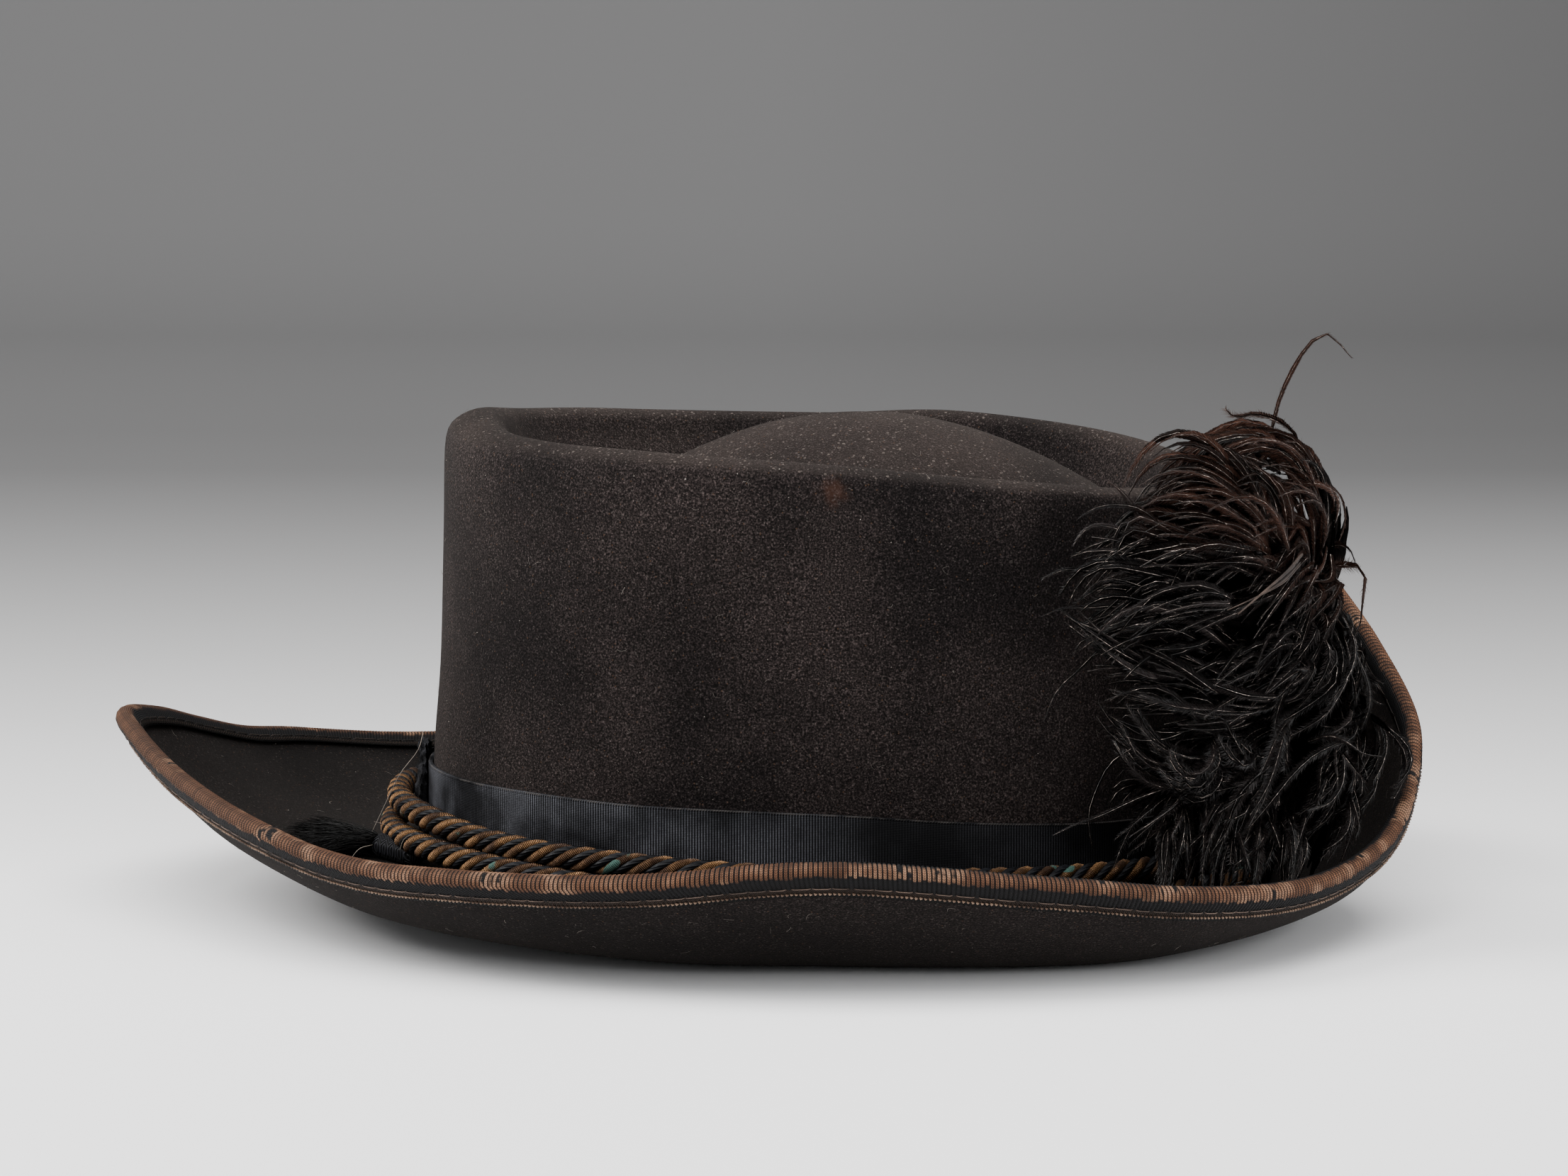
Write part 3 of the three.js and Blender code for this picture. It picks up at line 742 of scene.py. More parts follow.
def bindingMaterial():
    look = bindingSettings
    made, tree, shader = newMaterial("grosgrain_binding", 0.55, 0.12)
    along, rib = weaveMarks(tree)
    far = abs(along)
    ribShare = randomFor(rib)
    place = objectPlace(tree)
    across = axisParts(place)[0]
    patches, wide = noiseAt(place, 120.0, 3.0), noiseAt(place, 16.0, 2.0)
    # the worn edge shows copper, and its border is ragged from rib to rib
    inner = along.math("LESS_THAN", 0.0)
    drawn = ramp(across, 0.03, -0.05) * 2.7 - 1.2
    edge = far + (ribShare - 0.5) * 0.9 + (wide - 0.5) * 2.6 - inner * drawn
    spared = ramp(patches + ribShare * 0.22, 0.8, 0.86)
    worn = ramp(edge, 3.3, 2.8 - inner) * (1.0 - spared)
    copper = blendColour(ribShare * 0.5 + patches * 0.6, *look["copper"])
    # painted shade: the copper darkens toward its border, where the roll turns away, and on the
    # inner leg
    paintedLightFalloff = greater(ramp(edge, 1.4, 3.2), inner * 0.7) * 0.55
    copper = blendColour(paintedLightFalloff, copper, look["paintedLightFalloff"])
    # the front tip is grimier
    grimy = ramp(across, -0.09, -0.15) * 0.45
    copper = blendColour(grimy, copper, look["grime"])
    # painted glints: the copper is lighter in patches, less on the grimy tip
    paintedGlint = ramp(patches, 0.5, 0.7).math("SUBTRACT", grimy, clamp=True) * 0.5
    copper = blendColour(paintedGlint, copper, look["paintedGlint"])
    colour = blendColour(worn, blendColour(wide, *look["navy"]), copper)
    # each rib is a pair of twisted threads with a groove beside it; painted shade darkens the
    # threads along their twist, between them and in the groove
    middle = abs(rib.math("FRACT") - 0.5)
    twist = sine(along * (2 * math.pi / 0.55) + middle * 11.0)
    split = ramp(middle, 0.09, 0.02)
    shade = greater(ramp(twist, 0.1, -1.0) * 0.62, split * 0.85) * (worn * 0.6 + 0.4)
    colour = blendColour(shade, colour, look["shade"])
    colour = blendColour(ramp(middle, 0.2, 0.39) * 0.96, colour, look["groove"])
    # past the stitches the hem is a close weave of small beads
    hem = ramp(far, look["stitchAt"] + 0.05, look["stitchAt"] + 0.35)
    beads = sine(rib * (4 * math.pi)) * sine(along * (2 * math.pi / 0.7))
    hemColour = blendColour(ramp(beads, -0.1, 0.6), *look["hem"])
    under = ramp(far, look["selvageAt"] + 0.02, look["selvageAt"] + 0.12)
    hemColour = blendColour(under, hemColour, look["hemFoot"])
    paint(shader, blendColour(hem, colour, hemColour))
    addBump(shader, twist * 0.4 - split * 0.5 + hem * beads, 0.00014)
    return made


def alongBinding(place, along, off, turns):
    flat = place(along, off)
    return onRing(around(flat[:, 0], turns), around(flat[:, 1], turns), turns)


def makeStitches(place, length):
    look = bindingSettings
    rng = random.Random(4)
    count = round(length / look["stitchStep"])
    for side, name, dark, light in look["stitches"]:
        tubes = []
        for k in range(count):
            start = (k + rng.uniform(-0.06, 0.06)) / count
            reach = look["stitchLength"] * rng.uniform(*look["stitchShare"]) / length
            sag = rng.uniform(*look["stitchSag"])
            points = []
            for t in np.linspace(0, 1, look["stitchPoints"]):
                bow = 4 * t * (1 - t)
                along = side * (look["stitchAt"] + sag * bow - look["stitchDrop"])
                off = -look["stitchDrop"] + look["stitchRise"] * min(1, bow * 4)
                points.append(alongBinding(place, along, off, start + reach * t))
            tubes.append(tubeParts(np.array(points), look["stitchRadius"], 4))
        material = threadMaterial("stitch_thread" + name, dark, light)
        tubePiece("binding_stitches" + name, tubes, material, "binding")


def makeSelvage(place, ribs, turns, length):
    # one bead of thread at the foot of each rib
    look = bindingSettings
    rng = random.Random(5)
    tubes = []
    step = 1 / length
    for k in range(ribs):
        turn = turns[k] + (look["slantTo"] - look["slantFrom"]) * leanAt(turns[k]) * step
        start = look["selvageAt"] + rng.uniform(-0.1, 0.1)
        size = rng.uniform(*look["beadShare"])
        points = [alongBinding(place, start + down, off, turn + over * step)
                  for over, down, off in look["bead"]]
        tubes.append(tubeParts(np.array(points), np.array(look["beadRadii"]) * size, 5))
    material = threadMaterial("selvage_loops", *look["selvage"])
    piece = tubePiece("binding_selvage", tubes, material, "binding")
    print("selvage:", len(piece.data.polygons), "faces")


bandSettings = {
    "ribPitch": 0.7,
    "across": (-0.16, 0.06, 0.06),  # height of a rib at its three lines
    # share down from the top, how far it stands off, how much the ribs show
    "profile": ((0, -0.35, 0), (0.003, 0.02, 0.2), (0.014, 0.05, 0.6), (0.024, -0.04, 0.8),
                (0.034, 0.0, 1), (0.5, 0.03, 1), (0.97, 0, 1), (1, -0.3, 0.3)),
    "waves": (3, 5, 9, 14),  # how often the top edge rises and falls in a turn
    "wave": 0.35,
    "waveKept": 0.6,
    "tone": (38.0, 1800.0, rgb(17, 17, 20), rgb(96, 97, 103), 0.4),
    # painted shade toward the rear, and in the grooves between the ribs
    "black": rgb(8, 8, 9),
    "groove": rgb(5, 5, 7),
    "bare": rgb(64, 60, 58),
}


def makeBand():
    look = bandSettings
    outer, inner = [], []
    for points in sectionPoints("hat_band"):
        order = points[np.argsort(points[:, 1])]
        low, high = order[:2], order[2:]
        outer.append([low[low[:, 0].argmax()], high[high[:, 0].argmax()]])
        inner.append([low[low[:, 0].argmin()], high[high[:, 0].argmin()]])
    outer, inner = np.array(outer), np.array(inner)
    foot, top = outer[:, 0], outer[:, 1]
    ribs = round(ringLength(*top.T) / look["ribPitch"])
    lines = len(look["across"])
    turns = evenTurns(*top.T, ribs * lines)[0]
    heights = np.tile(look["across"], ribs)
    rng = np.random.default_rng(3)
    ripple = np.zeros(len(turns))
    for waves in look["waves"]:
        ripple += np.sin(turns * 2 * math.pi * waves + rng.uniform(0, 6)) / 4
    ripple *= look["wave"]
    rows, marks = [], []
    for share, off, ribbed in look["profile"]:
        flat = top * (1 - share) + foot * share
        radius = around(flat[:, 0], turns) + off + heights * ribbed
        height = around(flat[:, 1], turns) + ripple * (1 - share) * look["waveKept"]
        rows.append(onRing(radius, height, turns))
        marks.append(share)
    for points in (inner[:, 0], inner[:, 1]):
        height = around(points[:, 1], turns) + ripple * look["waveKept"]
        rows.append(onRing(around(points[:, 0], turns), height, turns))
        marks.append(1.5)
    columnMarks = np.arange(ribs * lines + 1) / lines
    piece = netPiece("ribbed_band", np.array(rows), marks + [2], columnMarks, bandMaterial())
    keep(piece, "band", "hat_band")
    print("band:", ribs, "ribs,", len(piece.data.polygons), "faces")


def bandMaterial():
    look = bandSettings
    made, tree, shader = newMaterial("grosgrain_band", 0.6, 0.12)
    share, rib = weaveMarks(tree)
    edge = ramp(share, 0.022, 0.012)
    twist = sine(rib * (2 * math.pi) + share * 90.0)
    # painted shade: the band is darkened toward the rear, away from the light
    place = objectPlace(tree)
    paintedRearShade = ramp(axisParts(place)[0], -0.035, 0.05) * 0.8
    colour = blendColour(paintedRearShade, mottleTone(tree, *look["tone"])[0], look["black"])
    # painted shade darkens the grooves between the ribs
    deep = ramp(abs(rib.math("FRACT") - 0.5), 0.08, 0.3) * 0.92
    colour = blendColour(deep, colour, look["groove"])
    bare = edge * ramp(noiseAt(place, 300.0, 2.0), 0.4, 0.6) * 0.7
    paint(shader, blendColour(bare, colour, look["bare"]))
    addBump(shader, twist * edge + sine(share * 320.0) * 0.12, 0.00015, 0.8)
    return made


# hat cords: three gold and three black plies twisted together
cordSettings = {
    "lay": 20.5,  # millimetres for one full turn of a ply
    "steps": 16,
    "sides": 8,
    "plies": 3,  # of each kind
    "gold": {"radius": 1.24, "circle": 2.04, "start": 0},
    "black": {"radius": 1.02, "circle": 2.16, "start": 1 / 6},
    "settled": {"cord": "cord_upper", "at": -88, "reach": 26, "drop": 1.2},
    "thread": (rgb(72, 50, 34), rgb(168, 124, 80)),
    # painted shade between the windings
    "groove": rgb(44, 26, 14),
    "verdigris": rgb(54, 92, 82),
    "tarnish": [(-74.5, -56, 23, 2.9), (-65, -68.5, 17, 4.0), (-76, -57, 18, 3.0),
                (-58, -72, 15.5, 3.0), (-86, -38, 27, 2.4)],  # frame millimetres and reach
    "blackTone": (110.0, 2400.0, rgb(6, 6, 8), rgb(18, 19, 23), 0.6),
}


def plyPaths(nodeName, kind):
    look, size = cordSettings, cordSettings[kind]
    centre = np.array([points.mean(0) for points in sectionPoints(nodeName)])
    length = ringLength(*centre.T)
    count = round(length / look["lay"]) * look["steps"]
    turns = evenTurns(*centre.T, count)[0]
    path = onRing(around(centre[:, 0], turns), around(centre[:, 1], turns), turns)
    rest = look["settled"]
    if nodeName == rest["cord"]:
        settled = np.exp(-((path[:, 0] - rest["at"]) / rest["reach"]) ** 2) * (path[:, 1] < 0)
        path[:, 2] -= rest["drop"] * settled * grown(-path[:, 1], 0, 20)
    along = unit(np.roll(path, -1, 0) - np.roll(path, 1, 0))
    side = unit(np.cross(along, (0, 0, 1)))
    up = np.cross(side, along)
    nets = []
    for ply in range(look["plies"]):
        turn = 2 * math.pi * (ply / 3 + size["start"] + np.arange(count) / look["steps"])
        outward = turned(side, up, turn)
        helix = path + outward * size["circle"]
        heading = unit(np.roll(helix, -1, 0) - np.roll(helix, 1, 0))
        across = unit(np.cross(heading, outward))
        ring = circles(across, np.cross(across, heading), look["sides"])
        nets.append(helix[:, None] + ring * size["radius"])
    return nets, length, count


def makeCord(nodeName, pieceName, kind, material, *hidden):
    nets, length, count = plyPaths(nodeName, kind)
    sides = cordSettings["sides"]
    rowMarks = np.arange(count + 1) * (length / count * 1.22)
    columnMarks = np.arange(sides + 1) / sides
    faces, uvs = [], []
    for number, net in enumerate(nets):
        quads, corners = netFaces(net, rowMarks + number * 1000, columnMarks)
        faces.append(quads + number * count * sides)
        uvs.append(corners)
    points = np.concatenate(nets)
    piece = newPiece(pieceName, points, np.concatenate(faces), material, np.concatenate(uvs))
    keep(piece, "cord", *hidden)
    print(pieceName + ":", len(piece.data.polygons), "faces, length", round(length), "mm")


def goldMaterial():
    look = cordSettings
    made, tree, shader = newMaterial("gold_thread", 0.42, 0.5, Metallic=0.55)
    along, roundPly = weaveMarks(tree)
    wound = sine(along * (2 * math.pi / 0.4) + roundPly * (8 * math.pi))
    place = objectPlace(tree)
    fine = noiseAt(place, 1400.0, 2.0)
    colour = blendColour(ramp(noiseAt(place, 130.0, 3.0), 0.36, 0.66), *look["thread"])
    # painted shade darkens the grooves between the windings
    colour = blendColour(ramp(wound, 0.5, -0.8) * 0.88, colour, look["groove"])
    tarnish = ramp(noiseAt(place, 88.0, 2.0), 0.68, 0.7)
    ragged = noiseAt(place, 950.0, 3.0) * 0.0042
    for x, y, z, reach in look["tarnish"]:
        centre = (x * mm, y * mm, z * mm)
        tarnish = greater(tarnish, spotMask(place, centre, ragged, reach * mm, reach * 0.6 * mm))
    paint(shader, blendColour(tarnish, colour, look["verdigris"]))
    feed(shader["Metallic"], (1.0 - tarnish) * 0.62)
    feed(shader["Roughness"], tarnish * 0.4 + fine * 0.75)
    addBump(shader, wound + fine * 0.8, 0.00018)
    return made


def blackMaterial():
    made, shader, height = mottledMaterial("black_thread", 0.5, 0.14, *cordSettings["blackTone"])
    along, roundPly = weaveMarks(height.tree)
    addBump(shader, sine(along * 4.0 + roundPly * (16 * math.pi)), 0.00008, 0.6)
    return made


def makeCords():
    gold, black = goldMaterial(), blackMaterial()
    for nodeName, strand in (("cord_upper", "upper_strand"), ("cord_lower", "lower_strand")):
        makeCord(nodeName, strand + "_gold", "gold", gold, nodeName)
        makeCord(nodeName, strand + "_black", "black", black)


bowSettings = {
    "cuts": 11,
    "foldSize": (2.6, 6, 4.5, 2.2),  # along, down into along, down, outward
    "foldDepth": 0.75,
    "foldSharp": 3.2,
    "creaseSize": 2.3,  # times finer than the folds
    "creaseDepth": 0.4,
    "creaseSharp": 3,
    "tone": (120.0, 1800.0, rgb(8, 8, 9), rgb(46, 46, 50), 0.8),
    "ribs": {"Scale": 420.0, "Distortion": 1.2, "Detail": 1.0, "Detail Scale": 60.0},
}


def makeBow():
    look = bowSettings
    piece = copyNode("band_bow", "crumpled_bow")
    cutFiner(number_cuts=look["cuts"])
    piece.data.update()
    vertices = piece.data.vertices
    normals = readVectors(vertices, "normal")
    local = (readVectors(vertices, "co") - crownAxis) / mm
    along, lean, down, outward = look["foldSize"]
    for k, (x, y, z) in enumerate(local):
        slanted = Vector((y / along + z / lean, z / down, x / outward))
        fold = 1 - abs(noise.noise(slanted)) * look["foldSharp"]
        crease = 1 - abs(noise.noise(slanted * look["creaseSize"])) * look["creaseSharp"]
        out = fold * look["foldDepth"] + crease * look["creaseDepth"] - look["foldDepth"]
        local[k] += normals[k] * out
    writePoints(piece.data, local * mm + crownAxis)
    piece.data.shade_smooth()
    piece.data.materials.append(bowMaterial())
    keep(piece, "bow", "band_bow")
    print("bow:", len(piece.data.polygons), "faces")


def bowMaterial():
    look = bowSettings
    made, shader, height = mottledMaterial("crumpled_ribbon", 0.65, 0.12, *look["tone"])
    inputs = {"Vector": objectPlace(height.tree), **look["ribs"]}
    ribs = addNode(height.tree, "ShaderNodeTexWave", inputs, "Fac", bands_direction="Y")
    addBump(shader, ribs, 0.0002, 0.9)
    return made


tasselSettings = {
    "cuts": {"number_cuts": 3, "smoothness": 0.6},
    "silk": (rgb(4, 4, 5), rgb(34, 34, 38)),
    "head": ((-103.5, -37, 14.2), (-114.2, -26, 15.3)),
    "tips": ((-134, -6, 19.3), (-138, -9, 18), (-140, -14, 17.2), (-138, -24, 16.2),
             (-130, -35, 15.4)),
    "threads": 760,
    "spread": 2.6,
    "reach": (0.8, 1.0),  # share of the way to the tips
    "shortReach": (0.5, 0.85),
    "full": 0.85,  # share of the threads that reach the tips
    "tame": 0.9,  # share that stray little
    "stray": (0.4, 1.6),
    "sway": ((0, 1.0), (0, 1.2), (-0.6, 0.9)),  # of a tip: mean and spread along each axis
    "middle": 0.45,
    "arch": (0.4, 1.6),
    "radii": (0.11, 0.12, 0.12, 0.11, 0.09, 0.03),
    "fringeTone": (260.0, 2500.0, rgb(3, 3, 3), rgb(12, 10, 9), 0.5),
}


def makeTassel():
    look = tasselSettings
    piece = copyNode("tassel_head", "woven_head")
    cutFiner(**look["cuts"])
    piece.data.shade_smooth()
    piece.data.materials.append(silkMaterial())
    keep(piece, "silk", "tassel_head")
    makeFringe()


def silkMaterial():
    made, tree, shader = newMaterial("woven_silk", 0.5, 0.15)
    inputs = {"Vector": objectPlace(tree), "Rotation": (0, 0, math.radians(-45))}
    place = addNode(tree, "ShaderNodeMapping", inputs)
    waves = addNode(tree, "ShaderNodeTexWave", {"Vector": place, "Scale": 105.0}, "Fac",
                    bands_direction="Y", wave_profile="TRI")
    cross = sine(axisParts(place)[0] * 9500.0 + waves * 10.0)
    paint(shader, blendColour(ramp(cross, -0.6, 0.9), *tasselSettings["silk"]))
    addBump(shader, cross, 0.00025)
    return made


def makeFringe():
    look = tasselSettings
    rng = random.Random(8)
    first, last = np.array(look["head"], float)
    heading = unit(last - first)
    across = unit(np.cross(heading, (0, 0, 1)))
    up = np.cross(across, heading)
    tips = np.array(look["tips"], float)
    tubes = []
    for _ in range(look["threads"]):
        pick = rng.random() ** 1.25 * (len(tips) - 1)
        k = min(int(pick), len(tips) - 2)
        tip = tips[k] + (tips[k + 1] - tips[k]) * (pick - k)
        turn, out = rng.uniform(0, 2 * math.pi), look["spread"] * math.sqrt(rng.random())
        root = last - heading * 1.2 + (across * math.cos(turn) + up * math.sin(turn)) * out
        reach = rng.uniform(*look["reach" if rng.random() < look["full"] else "shortReach"])
        stray = look["stray"][0 if rng.random() < look["tame"] else 1]
        tip = root + (tip - root) * reach
        tip += np.array([rng.gauss(mean, spread) for mean, spread in look["sway"]])
        run = np.linalg.norm(tip - root)
        middle = root + (tip - root) * look["middle"] + heading * run * 0.08
        middle += up * rng.uniform(*look["arch"])
        middle += np.array([rng.gauss(0, stray * share) for share in (1, 1, 0.5)])
        path = smoothPath([root, middle, tip], len(look["radii"]))
        tubes.append(tubeParts(path, look["radii"], 3))
    made = mottledMaterial("silk_fringe", 0.4, 0.1, *look["fringeTone"])[0]
    piece = tubePiece("silk_fringe", tubes, made, "silk", "tassel_fringe")
    print("fringe:", len(piece.data.polygons), "faces")


# Guides are drawn on an upright sheet across the hat, from root to tip, each point with its depth:
# (across, height, depth), and a point is moved to its depth along the line from the eye.
plumeSettings = {
    "sheet": -65,
    "eye": (-12.2, -1292.9, 213.9),
    "heart": (102, -48, 75),  # the plume's surface lies about this point
    "flatness": (0.4, 1, 0.25),
    "steps": 24,  # points along a guide
    "rings": 10,  # sections of a barb
    "shaftRadius": 0.075,
    "shaftRise": 0.08,
    "vane": 0.52,  # half its width, as a share of the barbules' length
    "vaneThick": (0.05, 0.12),  # above and below the barb's middle
    "downWidth": 0.76,
    "twist": (0.4, 0.7),  # how much a barb is turned, and turns along its length
    "droop": 0.35,  # of a vane's edges, as a share of its width
    "ragged": (0.8, 1.2),  # a vane's width from section to section
    "pitch": 0.5,  # from one barbule to the next
    "barbuleWidth": 0.2,
    "barbuleFrom": 0.45,  # share of the way from the shaft to the vane's edge
    "barbuleSway": 8,  # degrees
    "barbuleClose": 10,  # degrees by which the barbules close toward the tip
    "barbuleShare": (0.6, 1.15),  # of their length
    "lengthShare": (0.85, 1.2),
    "sweepShare": (0.8, 1.2),
    "dense": ((3, 1.0), (6, 0.6), (99, 0.3)),  # down to each depth, share of the barbules grown
    "singleDense": 2.4,
    "tuft": (2, 7),
    "downStray": 0.25,
    "riseFrom": 7,  # how far barbs that start along a guide come up from within
    # a dark tone whose strong grain paints sparse pale glints
    "shaftToneAndGlints": (150.0, 900.0, rgb(10, 8, 7), rgb(128, 117, 110), 2.6),
    "downTone": (300.0, 1500.0, rgb(2, 2, 2), rgb(12, 9, 8), 0.8),
    "black": (rgb(2, 1, 1), rgb(52, 46, 45)),
    "brown": (rgb(8, 5, 4), rgb(84, 56, 45)),
    # painted shade between the barbules
    "gap": rgb(3, 2, 2),
    "tip": rgb(44, 36, 33),
    "quill": ((99, -54, 15), (112, -50, 36), (119, -44, 64), (119, -40, 88), (121, -44, 104),
              (113, -50, 119), (98, -57, 121.5), (82, -62, 114)),
    "quillRadii": (1.5, 0.4),
    "quillHorn": (rgb(7, 6, 5), rgb(19, 16, 14)),
    # the split end of a broken quill: each half's guide, radius, thinning and width of vane
    "halves": [([(114, 93, -86), (110.4, 88.8, -95), (105, 84, -98), (98.6, 78.4, -99)],
                0.4, 0.5, 2.1),
               ([(113.6, 90.6, -86), (109.6, 86.2, -94), (103, 82.6, -96), (96, 79.4, -97)],
                0.3, 0.6, 1.6)],
    "halfHorn": (rgb(30, 24, 22), rgb(84, 70, 62)),
}

# Barbs grow along guides. A lock of them says how many there are, how far they stray, the
# barbules' length, where along the guide they start, how much of it they follow and how deep
# they lie. The first locks are the matt down behind; the others also say their piece, their
# barbules' sweep, how wide their vanes are and how their tips curl.
plumeDown = [
    # backing
    {"count": 72, "spread": 0.45, "length": 8.0, "start": (0, 0.1), "share": (0.8, 0.95),
     "deep": 2, "guides": [
        [(119, 100, -42), (113, 100.5, -50), (106, 100, -60), (98, 98, -72), (90, 97, -80)],
        [(120, 90, -42), (112, 90, -52), (104, 90, -64), (95, 90, -76), (84, 90, -84)],
        [(120, 81, -44), (112, 80, -54), (103, 79, -67), (93, 79, -79), (81, 79, -85)],
        [(120, 71, -46), (112, 70, -56), (103, 68, -69), (93, 68, -79), (80, 69, -85)],
        [(120, 61, -48), (112, 58, -58), (103, 56, -70), (93, 57, -79), (80, 58, -85)],
        [(119, 52, -50), (110, 49, -60), (101, 46, -71), (90, 44, -79), (79, 45, -84)]]},
    # behind
    {"count": 18, "spread": 0.5, "length": 8.0, "start": (0, 0.05), "share": (0.85, 0.95),
     "deep": 2, "guides": [
        [(112, 50, -50), (107, 62, -56), (106, 74, -58), (107, 86, -58), (108, 97, -58)],
        [(119, 50, -46), (121, 62, -44), (121, 74, -42), (120, 86, -42), (118, 97, -44)]]},
    # under crest
    {"count": 40, "spread": 0.4, "length": 6.0, "start": (0, 0.08), "share": (0.8, 0.92),
     "deep": 1, "guides": [
        [(104.6, 117.6, -64), (99, 119.2, -68), (93, 118.4, -72), (87, 115, -76), (81, 109, -80)],
        [(103.4, 112, -68), (98, 115.4, -72), (91.6, 115, -76), (85, 111, -80),
         (78.6, 104.6, -83)],
        [(102.6, 106, -70), (97, 109.6, -75), (90, 109.8, -79), (83, 106, -82), (76, 99.6, -84)],
        [(108, 96, -62), (101, 100.6, -72), (92, 100.6, -78), (83, 97.4, -82), (74, 92, -84)]]},
    # under hole
    {"count": 9, "spread": 0.3, "length": 5.0, "start": (0, 0.05), "share": (0.85, 0.95),
     "deep": 1, "guides": [
        [(120, 88, -46), (116.4, 94, -54), (112, 98.4, -61), (106, 101, -68), (99, 102, -74)],
        [(120, 84, -46), (114, 89, -56), (109, 93, -64), (103, 96, -71), (96, 97.6, -77)]]},
    # under arch
    {"count": 18, "spread": 0.4, "length": 5.0, "start": (0, 0.08), "share": (0.8, 0.92),
     "deep": 1, "guides": [
        [(120.5, 90, -46), (122.2, 98, -50), (121.8, 105, -54), (119, 111.6, -58),
         (113.4, 117.8, -62), (106, 121, -66), (98, 121.2, -70)],
        [(116.5, 90, -46), (117.4, 98, -52), (116.6, 105, -57), (113.6, 110.6, -61),
         (109.6, 115, -65), (103.6, 117.6, -68), (97, 118.2, -72)]]},
    # neck
    {"count": 16, "spread": 0.4, "length": 6.0, "start": (0, 0.1), "share": (0.8, 0.9),
     "deep": 1, "guides": [
        [(113, 78, -50), (113.4, 86, -52), (114, 93, -54), (115.4, 99, -55), (116.6, 104, -56)],
        [(115, 78, -44), (117, 86, -46), (119, 94, -48), (121.4, 101, -50), (121.6, 107, -52)],
        [(119, 78, -42), (120.4, 86, -42), (122, 94, -46), (123.6, 101, -48), (122.8, 107, -50)]]},
    # under hem
    {"count": 72, "spread": 0.6, "length": 8.0, "start": (0, 0.1), "share": (0.8, 0.95),
     "deep": 3, "guides": [
        [(100, 48, -62), (92, 44, -74), (84, 40, -80), (77, 36, -84), (72, 33, -87)],
        [(106, 46, -60), (98, 39, -74), (90, 31, -82), (84, 21, -87), (82, 10, -89)],
        [(111, 46, -56), (105, 38, -68), (99, 29, -77), (95, 20, -84), (93, 10, -88)],
        [(115, 48, -52), (113, 39, -62), (109, 29, -70), (106, 20, -77), (104, 10, -82)],
        [(118, 56, -48), (122, 46, -55), (122, 36, -62), (119, 25, -69), (115, 12, -74)],
        [(120, 68, -44), (127, 58, -49), (130, 48, -53), (128, 36, -59), (122, 22, -66)]]},
]

